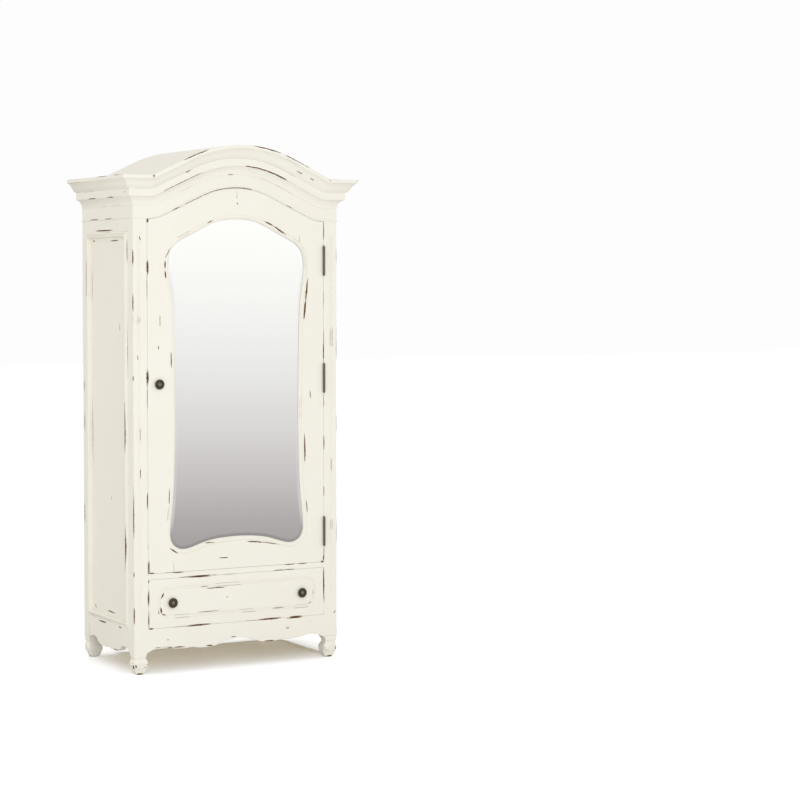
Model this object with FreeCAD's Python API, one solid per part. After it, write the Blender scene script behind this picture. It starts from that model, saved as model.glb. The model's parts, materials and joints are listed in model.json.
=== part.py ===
import FreeCAD, Part
import os
from math import cos, radians, sin, tan

# A tall wardrobe with one mirrored door under an arched cornice, and a drawer below.
# All sizes are in millimetres: x runs to the right, y to the back and z up.
# The carcass front lies at y = 0 while drawing. keep() then moves each piece so that
# the origin is on the floor, below the middle of the whole object.

Vector = FreeCAD.Vector
along_x = Vector(1, 0, 0)
along_y = Vector(0, 1, 0)
along_z = Vector(0, 0, 1)

# Carcass
body_width = 906.0
body_depth = 534.0
post_width = 60.0
post_depth = 54.0
foot_height = 90.0
apron_top = 180.5
drawer_opening_height = 197.0
mid_rail_height = 22.5
door_opening_height = 1407.0
rail_thickness = 27.0
housing_depth = 8.0
cut_overrun = 5.0
join_tolerance = 0.0001

# Reeds on the post fronts
reed_radius = 2.2
reed_inset = 20.0
reed_spacing = 9.0
reed_bottom = 272.0
reed_top_gap = 60.0

# Arch over the door, which the cornice and the roof follow
slope_angle = 25.1
shoulder_radius = 173.0
crown_radius = 356.0

# Cornice, from the door arch upwards
bead_height = 7.0
bead_rise = 4.0
frieze_height = 54.0
cove_foot_step = 3.0
cove_width = 22.0
cove_height = 34.0
fascia_step = 2.0
fascia_height = 30.0
cyma_step = 1.5
cyma_height = 38.0
cyma_width = 34.5
cyma_sag = 3.0
cyma_low_share = 0.25
cyma_high_share = 0.75
crown_fillet_step = 3.0
crown_fillet_height = 14.0
roof_thickness = 12.0
ceiling_thickness = 9.0

# Sides and back
side_panel_recess = 10.0
side_panel_thickness = 12.0
side_bottom_rail_top = 183.0
side_top_rail_height = 50.0
panel_moulding_width = 34.0
panel_moulding_lap = 5.0
panel_moulding_rise = 11.0
panel_moulding_lip = 3.2
panel_moulding_quirk = 2.0
panel_moulding_foot = 2.0
moulding_crest_share = 0.2
moulding_bead_share = 0.47
moulding_hollow_share = 0.64
moulding_hollow_depth_share = 0.68
back_panel_thickness = 9.0
back_panel_inset = 14.0
back_rail_bottom = 80.0
back_rail_height = 120.0

# Scalloped lower edges, as shares of half the rail's length and of its top's height
apron_scallop_shares = (
    ((0.0, 0.637),),
    ((0.13, 0.598), (0.25, 0.518)),
    ((0.33, 0.498), (0.478, 0.51)),
    ((0.515, 0.53),),
    ((0.64, 0.516), (0.76, 0.545)),
    ((0.785, 0.562),),
    ((0.88, 0.574), (1.0, 0.482)),
)
side_scallop_shares = (
    ((0.0, 0.416),),
    ((0.16, 0.396), (0.324, 0.401)),
    ((0.50, 0.437), (0.61, 0.524)),
    ((0.83, 0.555), (1.0, 0.473)),
)

# Feet, as shares of the post's width or depth and of the foot's height
foot_outline_shares = (
    ((0.0, 1.0),),
    ((0.0, 0.80),),
    ((0.037, 0.75), (0.083, 0.71)),
    ((0.0, 0.467), (0.15, 0.20)),
    ((0.21, 0.055), (0.333, 0.0)),
    ((0.667, 0.0),),
    ((0.83, 0.055), (0.90, 0.20)),
    ((1.0, 0.467), (0.833, 0.71)),
    ((0.892, 0.878), (1.0, 1.0)),
)

# Cabinet floor and shelves
floor_thickness = 18.0
bay_height = 333.5
shelf_thickness = 20.0
shelf_nose_height = 31.0
shelf_nose_depth = 16.0
shelf_nose_radius = 5.0
shelf_groove_radius = 2.0
shelf_groove_share = 0.66
shelf_front_gap = 3.0
shelf_clearance = 1.5
shelf_pin_radius = 3.0
shelf_pin_reach = 9.0
shelf_pin_seat = 10.0
shelf_pin_inset = 4.5

# Hanging rod
rod_radius = 12.5
rod_drop = 26.0
rod_support_height = 40.0
rod_boss_radius = 19.0
rod_boss_length = 13.0
rod_seat = 8.0
rod_clearance = 0.2

# Door
door_gap = 1.0
stile_width = 110.0
top_rail_share = 0.86
bottom_rail_share = 0.14
mirror_side_margin = 88.5
mirror_foot_margin = 85.5
mirror_head_margin = 120.0
glass_lip = 1.5
glass_seat = 8.0
glass_clearance = 0.5
glass_thickness = 5.0
glass_edge = 2.5
glass_bevel_width = 24.0
door_panel_thickness = 16.0
mirror_bead_width = 13.0
mirror_bead_rise = 4.0
mirror_bead_shoulder_share = 0.75
mirror_bead_crest_share = 0.3

# Half of the mirror's outline from its crown to its foot, as shares of half its width and
# of its height
mirror_outline_shares = (
    (0.0, 1.0),
    (0.152, 0.998),
    (0.304, 0.9905),
    (0.495, 0.9715),
    (0.683, 0.949),
    (0.865, 0.927),
    (0.964, 0.902),
    (1.0, 0.868),
    (0.990, 0.812),
    (0.957, 0.759),
    (0.934, 0.676),
    (0.921, 0.465),
    (0.918, 0.390),
    (0.927, 0.277),
    (0.960, 0.134),
    (0.993, 0.0625),
    (0.990, 0.040),
    (0.944, 0.0158),
    (0.809, 0.0),
    (0.660, 0.0045),
    (0.462, 0.0188),
    (0.231, 0.0271),
)
mirror_foot_share = 0.0294

# Butt hinges
hinge_height_shares = (0.09, 0.5415, 0.885)
hinge_length = 117.0
leaf_thickness = 2.0
leaf_depth = 24.0
knuckle_radius = 5.0
knuckle_standoff = 0.2
knuckle_gap = 0.3
knuckle_count = 5
pin_radius = 2.4
pin_head_radius = 4.0
pin_head_height = 4.0
running_clearance = 0.05
screw_radius = 1.8
screw_head_radius = 3.6
screw_length = 18.0
screw_spacing = 38.0

# Double roller catches and their strikes
catch_length = 24.0
catch_height = 13.0
catch_depth = 22.0
catch_wall = 1.5
catch_setback = 2.0
upper_catch_inset = 24.0
lower_catch_rise = 106.0
tongue_thickness = 1.6
tongue_width = 6.0
tongue_length = 12.0
roller_radius = 3.2
roller_clearance = 0.6
roller_travel = 1.2
roller_pin_radius = 1.2
strike_length = 30.0
strike_width = 8.0
catch_packing_height = 6.0
strike_thickness = 1.6

# Drawer
drawer_gap = 0.8
drawer_front_thickness = 20.0
drawer_side_thickness = 12.0
drawer_side_gap = 5.0
drawer_side_height = 169.0
drawer_back_gap = 32.0
drawer_back_thickness = 12.0
drawer_back_inset = 8.0
drawer_back_drop = 10.0
drawer_bottom_thickness = 6.0
drawer_bottom_rise = 10.0
drawer_bottom_seat = 6.0
drawer_field_width = 680.0
drawer_field_height = 102.0
drawer_field_radius = 34.0
drawer_field_rise = 49.5
drawer_groove_width = 12.0
drawer_groove_depth = 4.0
runner_width = 25.0
runner_height = 26.0
runner_lift = 0.5
runner_play = 0.3
runner_lip_width = 4.5
runner_lip_height = 24.0
kicker_play = 1.5

# Knobs
knob_radius = 20.0
knob_flange_thickness = 3.5
knob_ring_width = 4.0
knob_ring_rise = 2.0
knob_neck_radius = 11.0
knob_neck_length = 6.0
knob_dome_radius = 13.0
knob_dome_share = 0.7
knob_neck_share = 0.8
knob_tip_radius = 2.0
knob_projection = 22.0
knob_stem_radius = 3.0
knob_stem_length = 14.0
door_knob_height = 1152.0
door_knob_inset = 48.0
drawer_knob_offset = 289.0

# Places that follow from the sizes above
mitre_angle = radians(45)
half_width = body_width / 2
half_opening = half_width - post_width
door_opening_base = apron_top + drawer_opening_height + mid_rail_height
arch_base = door_opening_base + door_opening_height
floor_top = door_opening_base
slope = radians(slope_angle)
slope_run = half_opening - (shoulder_radius + crown_radius) * sin(slope)
arch_curl = (shoulder_radius + crown_radius) * (1 - cos(slope))
arch_rise = arch_curl + slope_run * tan(slope)
shoulder_centre_z = arch_base + shoulder_radius
crown_centre_z = arch_base + arch_rise - crown_radius
cove_overhang = cove_foot_step + cove_width
fascia_overhang = cove_overhang + fascia_step
cyma_foot = fascia_overhang + cyma_step
cyma_head = cyma_foot + cyma_width
cornice_overhang = cyma_head + crown_fillet_step
cornice_base = frieze_height
fascia_base = cornice_base + cove_height
cyma_base = fascia_base + fascia_height
crown_fillet_base = cyma_base + cyma_height
cornice_height = crown_fillet_base + crown_fillet_height
roof_underside = cornice_height - roof_thickness
carcass_top = arch_base + roof_underside
side_rail_inner = half_width - rail_thickness
panel_outer = half_width - side_panel_recess
panel_inner = panel_outer - side_panel_thickness
back_panel_front = body_depth - back_panel_inset - back_panel_thickness
back_post_front = body_depth - post_depth
side_top_rail_bottom = arch_base - side_top_rail_height
overall_height = arch_base + arch_rise + cornice_height
origin_shift = (cornice_overhang - body_depth) / 2
back_rail_top = back_rail_bottom + back_rail_height
back_rail_front = body_depth - rail_thickness

# Door, hinge and catch places
door_half = half_opening - door_gap
door_bottom = door_opening_base + door_gap
door_back = rail_thickness
mirror_width = 2 * (door_half - mirror_side_margin)
mirror_bottom = door_bottom + mirror_foot_margin
mirror_top = arch_base + arch_rise - door_gap - mirror_head_margin
mirror_height = mirror_top - mirror_bottom
door_panel_front = glass_lip + glass_thickness
hinge_axis_x = half_opening - door_gap / 2
hinge_axis_y = -knuckle_radius - knuckle_standoff
hinge_heights = [door_bottom + share * (door_opening_height - door_gap) for share in hinge_height_shares]
roller_offset = tongue_thickness / 2 + roller_clearance + roller_radius
roller_depth = door_back + catch_setback + catch_wall + roller_radius + roller_clearance

# Drawer places
runner_top = apron_top + runner_lift
drawer_side_bottom = runner_top + runner_play
drawer_side_top = drawer_side_bottom + drawer_side_height
drawer_side_outer = half_opening - drawer_side_gap
drawer_side_inner = drawer_side_outer - drawer_side_thickness
drawer_box_back = back_rail_front - drawer_back_gap
drawer_knob_height = apron_top + drawer_opening_height / 2


def moved(shape, x, y, z):
    """Return a copy of a shape, shifted."""
    copy = shape.copy()
    copy.translate(Vector(x, y, z))
    return copy


def mirrored_x(shape):
    """Return the left-right twin of a shape."""
    return shape.mirror(Vector(0, 0, 0), along_x)


def mirrored_y(shape):
    """Return the front-back twin of a shape, about the middle of the carcass."""
    return shape.mirror(Vector(0, body_depth / 2, 0), along_y)


def box(x0, x1, y0, y1, z0, z1):
    """Return a block between two corners."""
    return Part.makeBox(x1 - x0, y1 - y0, z1 - z0, Vector(x0, y0, z0))


def rod(start, direction, length, radius):
    """Return a round bar."""
    return Part.makeCylinder(radius, length, start, direction)


def outline(place, start, *steps):
    """Return a closed wire: one point makes a line, and two points make an arc."""
    edges = []
    here = place(*start)
    for step in steps:
        there = place(*step[-1])
        if len(step) == 1:
            edges.append(Part.LineSegment(here, there).toShape())
        else:
            edges.append(Part.Arc(here, place(*step[0]), there).toShape())
        here = there
    if not here.isEqual(place(*start), join_tolerance):
        edges.append(Part.LineSegment(here, place(*start)).toShape())
    return Part.Wire(edges)


def in_front_view(x, z):
    """Place an outline point on the carcass front."""
    return Vector(x, 0, z)


def in_side_view(y, z):
    """Place an outline point on the middle plane."""
    return Vector(0, y, z)


def in_plan(x, y):
    """Place an outline point on the floor."""
    return Vector(x, y, 0)


def slab(wire, direction, length):
    """Return a plate of a closed outline."""
    return Part.Face(wire).extrude(direction * length)


def fused(shapes):
    """Return one solid of several that touch."""
    return shapes[0].multiFuse(shapes[1:]).removeSplitter()


def keep(name, *shapes):
    """Write one piece, with its solids, to its own file."""
    solids = [solid for shape in shapes for solid in shape.Solids]
    group = Part.makeCompound([moved(solid, 0, origin_shift, 0) for solid in solids])
    group.exportStep(os.path.join("parts", name + ".step"))
    volume = sum(solid.Volume for solid in solids)
    sound = all(solid.isValid() for solid in solids)
    print(f"{name}: {len(solids)} solids, {volume / 1e3:.1f} cm3, valid {sound}")


# Arch


def arch_edges(offset, reach):
    """Return the door arch's edges from left to right, moved up along its normal."""
    shoulder = shoulder_radius - offset
    crown = crown_radius + offset

    def shoulder_point(angle):
        x = shoulder * sin(angle) - half_opening
        return in_front_view(x, shoulder_centre_z - shoulder * cos(angle))

    def crown_point(angle):
        return in_front_view(crown * sin(angle), crown_centre_z + crown * cos(angle))

    rise = Part.Arc(shoulder_point(0), shoulder_point(slope / 2), shoulder_point(slope)).toShape()
    ramp = Part.LineSegment(shoulder_point(slope), crown_point(-slope)).toShape()
    top = Part.Arc(crown_point(-slope), crown_point(0), crown_point(slope)).toShape()
    left = [rise, ramp]
    if reach > half_opening:
        flat_end = in_front_view(-reach, arch_base + offset)
        left.insert(0, Part.LineSegment(flat_end, shoulder_point(0)).toShape())
    right = [mirrored_x(edge) for edge in reversed(left)]
    return left + [top] + right


def arched_plate(low, high, reach, y0, y1):
    """Return a plate between two offsets of the arch."""
    edges = arch_edges(low, reach) + arch_edges(high, reach)
    for side in (-reach, reach):
        foot = in_front_view(side, arch_base + low)
        head = in_front_view(side, arch_base + high)
        edges.append(Part.LineSegment(foot, head).toShape())
    wire = Part.Wire(Part.__sortEdges__(edges))
    return moved(slab(wire, along_y, y1 - y0), 0, y0, 0)


def below_arch(offset, reach, bottom, y0, y1):
    """Return a plate with an arched top and a level bottom."""
    edges = arch_edges(offset, reach)
    for side in (-reach, reach):
        foot = in_front_view(side, bottom)
        head = in_front_view(side, arch_base + offset)
        edges.append(Part.LineSegment(foot, head).toShape())
    left_foot = in_front_view(-reach, bottom)
    right_foot = in_front_view(reach, bottom)
    edges.append(Part.LineSegment(left_foot, right_foot).toShape())
    wire = Part.Wire(Part.__sortEdges__(edges))
    return moved(slab(wire, along_y, y1 - y0), 0, y0, 0)


def swept_over_arch(section, reach):
    """Sweep a section, drawn in the side view, along the arch from end to end."""
    pieces = []
    face = moved(section, -reach, 0, 0)

    def straight(face, x, z):
        pieces.append(face.extrude(Vector(x, 0, z)))
        return moved(face, x, 0, z)

    def turned(face, x, z, angle):
        centre = Vector(x, 0, z)
        pieces.append(face.revolve(centre, along_y, angle))
        copy = face.copy()
        copy.rotate(centre, along_y, angle)
        return copy

    ramp_run = slope_run
    ramp_rise = slope_run * tan(slope)
    face = straight(face, reach - half_opening, 0)
    face = turned(face, -half_opening, shoulder_centre_z, -slope_angle)
    face = straight(face, ramp_run, ramp_rise)
    face = turned(face, 0, crown_centre_z, 2 * slope_angle)
    face = straight(face, ramp_run, -ramp_rise)
    face = turned(face, half_opening, shoulder_centre_z, -slope_angle)
    straight(face, reach - half_opening, 0)
    return fused(pieces)


def mitred_run(steps, overhang):
    """Return the front, left and right lengths of a moulding that goes round three sides.

    The steps give its section as overhang and height above the arch.
    """
    def on_front(out, height):
        return Vector(0, -out, arch_base + height)

    def on_right(out, height):
        return Vector(half_width + out, -overhang, arch_base + height)

    front = swept_over_arch(Part.Face(outline(on_front, *steps)), half_width + overhang)
    right = slab(outline(on_right, *steps), along_y, body_depth + overhang)
    corner = (half_width, 0)
    tip = (half_width + overhang, -overhang)
    beside = outline(in_plan, corner, ((half_width + overhang, 0),), (tip,))
    before = outline(in_plan, corner, ((half_width, -overhang),), (tip,))
    beside = slab(beside, along_z, overall_height)
    before = slab(before, along_z, overall_height)
    front = front.cut(beside).cut(mirrored_x(beside))
    right = right.cut(before)
    return front, mirrored_x(right), right


def make_cornice():
    """Return the crown moulding: a cove, a fascia, a cyma and a top fillet."""
    middle = ((cyma_foot + cyma_head) / 2, cyma_base + cyma_height / 2)
    sag_out = cyma_sag * cyma_height / (cyma_height + cyma_width)
    sag_up = cyma_sag * cyma_width / (cyma_height + cyma_width)
    low_out = cyma_foot + cyma_width * cyma_low_share + sag_out
    low_up = cyma_base + cyma_height * cyma_low_share - sag_up
    high_out = cyma_foot + cyma_width * cyma_high_share - sag_out
    high_up = cyma_base + cyma_height * cyma_high_share + sag_up
    cove_out = cove_overhang - cove_width * cos(mitre_angle)
    cove_up = cornice_base + cove_height * sin(mitre_angle)
    steps = (
        (0, cornice_base),
        ((cove_foot_step, cornice_base),),
        ((cove_out, cove_up), (cove_overhang, fascia_base)),
        ((fascia_overhang, fascia_base),),
        ((fascia_overhang, cyma_base),),
        ((cyma_foot, cyma_base),),
        ((low_out, low_up), middle),
        ((high_out, high_up), (cyma_head, crown_fillet_base)),
        ((cornice_overhang, crown_fillet_base),),
        ((cornice_overhang, cornice_height),),
        ((0, cornice_height),),
    )
    return mitred_run(steps, cornice_overhang)


def make_frieze_bead():
    """Return the half-round bead that runs over the door and along both sides."""
    steps = ((0, 0), ((bead_rise, bead_height / 2), (0, bead_height)))
    return mitred_run(steps, bead_rise)


# Mirror outline


def mirror_wire(offset):
    """Return the mirror's outline, moved outwards along its normal."""
    half = mirror_width / 2
    right = [(half * x, mirror_height * z) for x, z in mirror_outline_shares]
    foot = (0, mirror_height * mirror_foot_share)
    left = [(-x, z) for x, z in reversed(right[1:])]
    points = [in_front_view(x, mirror_bottom + z) for x, z in right + [foot] + left]
    curve = Part.BSplineCurve()
    curve.interpolate(Points=points, PeriodicFlag=True)
    if offset == 0:
        return Part.Wire(curve.toShape())
    shifted = []
    for point in points:
        direction = curve.tangent(curve.parameter(point))[0]
        shifted.append(point + direction.cross(along_y).multiply(offset))
    wider = Part.BSplineCurve()
    wider.interpolate(Points=shifted, PeriodicFlag=True)
    return Part.Wire(wider.toShape())


def mirror_plate(offset, y0, y1):
    """Return a plate with the mirror's outline."""
    return moved(slab(mirror_wire(offset), along_y, y1 - y0), 0, y0, 0)


# Carcass


def make_foot():
    """Return the left front foot: a scroll with a narrow ankle, the same on two sides."""
    def on_front(x, z):
        return Vector(x * post_width - half_width, 0, z * foot_height)

    def on_side(y, z):
        return Vector(-half_width, y * post_depth, z * foot_height)

    across = slab(outline(on_front, foot_outline_shares[0][0], *foot_outline_shares[1:]), along_y, post_depth)
    along = slab(outline(on_side, foot_outline_shares[0][0], *foot_outline_shares[1:]), along_x, post_width)
    return across.common(along)


def side_panel_blank(clearance):
    """Return the left side panel, with its edges in the frame's housings."""
    reach = housing_depth + clearance
    return box(
        -panel_outer - clearance,
        -panel_inner + clearance,
        post_depth - reach,
        back_post_front + reach,
        side_bottom_rail_top - reach,
        side_top_rail_bottom + reach,
    )


def back_panel_blank():
    """Return the back panel, arched under the roof, with its edges in the back posts."""
    panel = below_arch(
        roof_underside,
        half_opening + housing_depth,
        back_rail_bottom + back_rail_height,
        back_panel_front,
        back_panel_front + back_panel_thickness,
    )
    return panel


def shelf_tops():
    """Return the heights of the shelves' upper faces, from the lowest up."""
    return [floor_top + bay_height * count for count in (1, 2, 3)]


def make_shelf_pins():
    """Return four pins under each shelf, in holes in the posts."""
    pins = []
    length = shelf_pin_reach + shelf_pin_seat
    front = post_depth - shelf_pin_inset
    back = back_post_front + shelf_pin_inset
    for top in shelf_tops():
        z = top - shelf_thickness - shelf_pin_radius
        for y in (front, back):
            start = Vector(half_opening - shelf_pin_reach, y, z)
            pin = rod(start, along_x, length, shelf_pin_radius)
            pins += [pin, mirrored_x(pin)]
    return pins


def make_reeds():
    """Return the two stopped flutes of the left front post."""
    reeds = []
    for step in (0, 1):
        x = reed_inset + reed_spacing * step - half_width
        length = arch_base - reed_top_gap - reed_bottom
        reeds.append(rod(Vector(x, 0, reed_bottom), along_z, length, reed_radius))
    return reeds


def make_posts(panel_housing, back_panel, pins):
    """Return the four posts by name, with their housings, holes and flutes."""
    front = box(-half_width, -half_opening, 0, post_depth, foot_height, carcass_top)
    back = moved(front, 0, back_post_front, 0)
    for reed in make_reeds():
        front = front.cut(reed)
    front = front.cut(panel_housing)
    back = back.cut(panel_housing)
    posts = {
        "left_front_post": front,
        "right_front_post": mirrored_x(front),
        "left_back_post": back.cut(back_panel),
        "right_back_post": mirrored_x(back).cut(back_panel),
    }
    holes = Part.makeCompound(pins)
    return {name: post.cut(holes) for name, post in posts.items()}


def scalloped_rail(shares, length, height, place, direction, thickness):
    """Return a rail with a level top and a lower edge that is the same on both halves."""
    half = length / 2
    right = [tuple((x * half, z * height) for x, z in step) for step in shares]
    wire_points = [right[0][0]]
    steps = list(right[1:])
    steps.append(((half, height),))
    steps.append(((-half, height),))
    back_steps = []
    ends = [step[-1] for step in right]
    steps.append(((-ends[-1][0], ends[-1][1]),))
    for count in range(len(right) - 1, 0, -1):
        target = (-ends[count - 1][0], ends[count - 1][1])
        if len(right[count]) == 1:
            back_steps.append((target,))
        else:
            middle = (-right[count][0][0], right[count][0][1])
            back_steps.append((middle, target))
    return slab(outline(place, wire_points[0], *steps, *back_steps), direction, thickness)


def make_apron():
    """Return the scalloped rail below the drawer."""
    return scalloped_rail(
        apron_scallop_shares, 2 * half_opening, apron_top, in_front_view, along_y, rail_thickness
    )


def make_side_bottom_rail(panel_housing):
    """Return the left scalloped rail."""
    def place(y, z):
        return Vector(-half_width, y + body_depth / 2, z)

    length = body_depth - 2 * post_depth
    rail = scalloped_rail(
        side_scallop_shares, length, side_bottom_rail_top, place, along_x, rail_thickness
    )
    return rail.cut(panel_housing)


def make_side_top_rail(panel_housing):
    """Return the left rail that stands behind the bead and the cornice."""
    rail = box(
        -half_width, -side_rail_inner, post_depth, back_post_front, side_top_rail_bottom, carcass_top
    )
    return rail.cut(panel_housing)


def make_panel_moulding():
    """Return the four mitred lengths round the left side panel."""
    y0 = post_depth - panel_moulding_lap
    y1 = body_depth - y0
    z0 = side_bottom_rail_top - panel_moulding_lap
    z1 = side_top_rail_bottom + panel_moulding_lap
    width = panel_moulding_width
    lap = panel_moulding_lap
    floor = -side_panel_recess
    foot = floor + panel_moulding_foot
    crest = (width * moulding_crest_share, panel_moulding_rise)
    bead_end = (width * moulding_bead_share, panel_moulding_lip)
    quirk = (width * moulding_bead_share, -panel_moulding_quirk)
    hollow = (width * moulding_hollow_share, foot * moulding_hollow_depth_share)
    section = (
        (0, 0),
        ((0, panel_moulding_lip),),
        (crest, bead_end),
        (quirk,),
        (hollow, (width - panel_moulding_foot, foot)),
        ((width, foot),),
        ((width, floor),),
        ((lap, floor),),
        ((lap, 0),),
    )

    def upright(across, out):
        return Vector(-half_width - out, y0 + across, z0)

    def level(across, out):
        return Vector(-half_width - out, y0, z0 + across)

    outer_x = -half_width - panel_moulding_rise - cut_overrun
    reach = panel_moulding_rise + side_panel_recess + 2 * cut_overrun

    def side_keep(*points):
        wire = outline(in_side_view, points[0], *[(point,) for point in points[1:]])
        return moved(slab(wire, along_x, reach), outer_x, 0, 0)

    far_corner_low = (y0 + width, z0 + width)
    far_corner_high = (y0 + width, z1 - width)
    front = slab(outline(upright, *section), along_z, z1 - z0)
    front = front.common(side_keep((y0, z0), far_corner_low, far_corner_high, (y0, z1)))
    bottom = slab(outline(level, *section), along_y, y1 - y0)
    bottom = bottom.common(side_keep((y0, z0), far_corner_low, (y1 - width, z0 + width), (y1, z0)))
    top = bottom.mirror(Vector(0, 0, (z0 + z1) / 2), along_z)
    return [front, mirrored_y(front), bottom, top]


def make_cabinet_floor(posts):
    """Return the floor above the drawer, notched round the posts."""
    floor = box(
        -panel_inner, panel_inner, rail_thickness, back_panel_front, floor_top - floor_thickness, floor_top
    )
    return floor.cut(Part.makeCompound(list(posts.values())))


def make_shelf(top):
    """Return one shelf, notched round the posts, with a moulded nose between them."""
    front = rail_thickness + shelf_front_gap
    back = back_panel_front - shelf_clearance
    side = panel_inner - shelf_clearance
    inner = half_opening - shelf_clearance
    front_post = post_depth + shelf_clearance
    back_post = back_post_front - shelf_clearance
    plan = outline(
        in_plan,
        (inner, front),
        ((inner, front_post),),
        ((side, front_post),),
        ((side, back_post),),
        ((inner, back_post),),
        ((inner, back),),
        ((-inner, back),),
        ((-inner, back_post),),
        ((-side, back_post),),
        ((-side, front_post),),
        ((-inner, front_post),),
        ((-inner, front),),
    )
    board = moved(slab(plan, along_z, shelf_thickness), 0, 0, top - shelf_thickness)
    bottom = top - shelf_nose_height
    nose_back = front + shelf_nose_depth
    round_off = shelf_nose_radius * (1 - cos(mitre_angle))
    groove = top - shelf_nose_height * shelf_groove_share
    nose = outline(
        in_side_view,
        (nose_back, bottom),
        ((nose_back, top),),
        ((front + shelf_nose_radius, top),),
        ((front + round_off, top - round_off), (front, top - shelf_nose_radius)),
        ((front, groove + shelf_groove_radius),),
        ((front + shelf_groove_radius, groove), (front, groove - shelf_groove_radius)),
        ((front, bottom + shelf_groove_radius),),
        ((front + shelf_groove_radius, bottom),),
    )
    nosing = moved(slab(nose, along_x, 2 * inner), -inner, 0, 0)
    square = box(-inner, inner, front, nose_back, top - shelf_thickness, top)
    return fused([board.cut(square), nosing])


def make_rod_supports():
    """Return the two cleats with sockets that carry the hanging rod."""
    y = body_depth / 2
    z = arch_base - rod_drop
    low = z - rod_support_height / 2
    cleat = box(half_opening, side_rail_inner, post_depth, back_post_front, low, low + rod_support_height)
    boss = rod(Vector(half_opening - rod_boss_length, y, z), along_x, rod_boss_length, rod_boss_radius)
    end = half_opening + rod_seat
    start = Vector(half_opening - rod_boss_length - cut_overrun, y, z)
    length = end - start.x
    socket = rod(start, along_x, length, rod_radius + rod_clearance)
    right = fused([cleat, boss]).cut(socket)
    return [mirrored_x(right), right]


def make_hanging_rod():
    """Return the round rod between the two sockets."""
    half = half_opening + rod_seat - rod_clearance
    z = arch_base - rod_drop
    return rod(Vector(-half, body_depth / 2, z), along_x, 2 * half, rod_radius)


# Hinges


def hinge_leaf(middle, first, inner_x, bore):
    """Return a leaf with its knuckles, which take every other place along the pin."""
    bottom = middle - hinge_length / 2
    pitch = hinge_length / knuckle_count
    pieces = [box(inner_x, inner_x + leaf_thickness, 0, leaf_depth, bottom, bottom + hinge_length)]
    for count in range(first, knuckle_count, 2):
        z0 = bottom + pitch * count + knuckle_gap / 2
        z1 = z0 + pitch - knuckle_gap
        start = Vector(hinge_axis_x, hinge_axis_y, z0)
        pieces.append(rod(start, along_z, z1 - z0, knuckle_radius))
        pieces.append(box(inner_x, inner_x + leaf_thickness, hinge_axis_y, 0, z0, z1))
    start = Vector(hinge_axis_x, hinge_axis_y, bottom - cut_overrun)
    return fused(pieces).cut(rod(start, along_z, hinge_length + 2 * cut_overrun, bore))


def hinge_pin(middle):
    """Return the pin with a turned head at each end."""
    length = hinge_length + 2 * pin_head_height
    start = Vector(hinge_axis_x, hinge_axis_y, middle - length / 2)
    shaft = rod(start, along_z, length, pin_radius)
    top = Vector(hinge_axis_x, hinge_axis_y, middle + hinge_length / 2)
    cap = Part.makeCone(pin_head_radius, pin_radius, pin_head_height, top, along_z)
    base = cap.mirror(Vector(0, 0, middle), along_z)
    return fused([shaft, cap, base])


def hinge_screws(middle, face_x, direction):
    """Return three countersunk screws through a leaf, from its open face."""
    screws = []
    for step in (-1, 0, 1):
        start = Vector(face_x, leaf_depth / 2, middle + step * screw_spacing)
        head = Part.makeCone(screw_head_radius, screw_radius, leaf_thickness, start, direction)
        shank = rod(start, direction, screw_length, screw_radius)
        screws.append(fused([head, shank]))
    return screws


def make_hinges():
    """Return the leaves, pins and screws of the three hinges, by node."""
    hinges = {"hinge_post_leaves": [], "hinge_door_leaves": [], "hinge_pins": []}
    hinges["hinge_post_screws"] = []
    hinges["hinge_door_screws"] = []
    for middle in hinge_heights:
        post_leaf = hinge_leaf(middle, 0, half_opening, pin_radius)
        door_leaf = hinge_leaf(middle, 1, door_half - leaf_thickness, pin_radius + running_clearance)
        post_screws = hinge_screws(middle, half_opening, along_x)
        door_screws = hinge_screws(middle, door_half, -along_x)
        hinges["hinge_post_leaves"].append(post_leaf.cut(Part.makeCompound(post_screws)))
        hinges["hinge_door_leaves"].append(door_leaf.cut(Part.makeCompound(door_screws)))
        hinges["hinge_pins"].append(hinge_pin(middle))
        hinges["hinge_post_screws"] += post_screws
        hinges["hinge_door_screws"] += door_screws
    return hinges


# Roller catches, drawn with the post face at x = 0 and the tongue's middle at z = 0


def catch_case():
    """Return the open case, with slots for the rollers' pins."""
    y0 = door_back + catch_setback
    y1 = y0 + catch_depth
    half = catch_length / 2
    case = box(0, catch_height, y0, y1, -half, half)
    inside = box(
        catch_wall,
        catch_height - catch_wall,
        y0 - cut_overrun,
        y1 - catch_wall,
        catch_wall - half,
        half - catch_wall,
    )
    case = case.cut(inside)
    slot_half = roller_pin_radius + running_clearance
    for side in (-1, 1):
        near = side * (roller_offset - running_clearance)
        far = side * (roller_offset + roller_travel + running_clearance)
        slot = box(
            0,
            catch_height,
            roller_depth - slot_half,
            roller_depth + slot_half,
            min(near, far),
            max(near, far),
        )
        ends = [rod(Vector(0, roller_depth, z), along_x, catch_height, slot_half) for z in (near, far)]
        case = case.cut(fused([slot] + ends))
    return case


def catch_roller(side):
    """Return one roller with its pins, above or below the tongue."""
    z = side * roller_offset
    inner = catch_wall + running_clearance
    body = rod(Vector(inner, roller_depth, z), along_x, catch_height - 2 * inner, roller_radius)
    start = Vector(running_clearance, roller_depth, z)
    pin = rod(start, along_x, catch_height - 2 * running_clearance, roller_pin_radius)
    return fused([body, pin])


def catch_strike():
    """Return the strike on the door's back: a plate and a tongue between the rollers."""
    middle = catch_height / 2
    plate = box(
        middle - strike_width / 2,
        middle + strike_width / 2,
        door_back - strike_thickness,
        door_back,
        -strike_length / 2,
        strike_length / 2,
    )
    tongue = box(
        middle - tongue_width / 2,
        middle + tongue_width / 2,
        door_back,
        door_back + tongue_length,
        -tongue_thickness / 2,
        tongue_thickness / 2,
    )
    return fused([plate, tongue])


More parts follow.
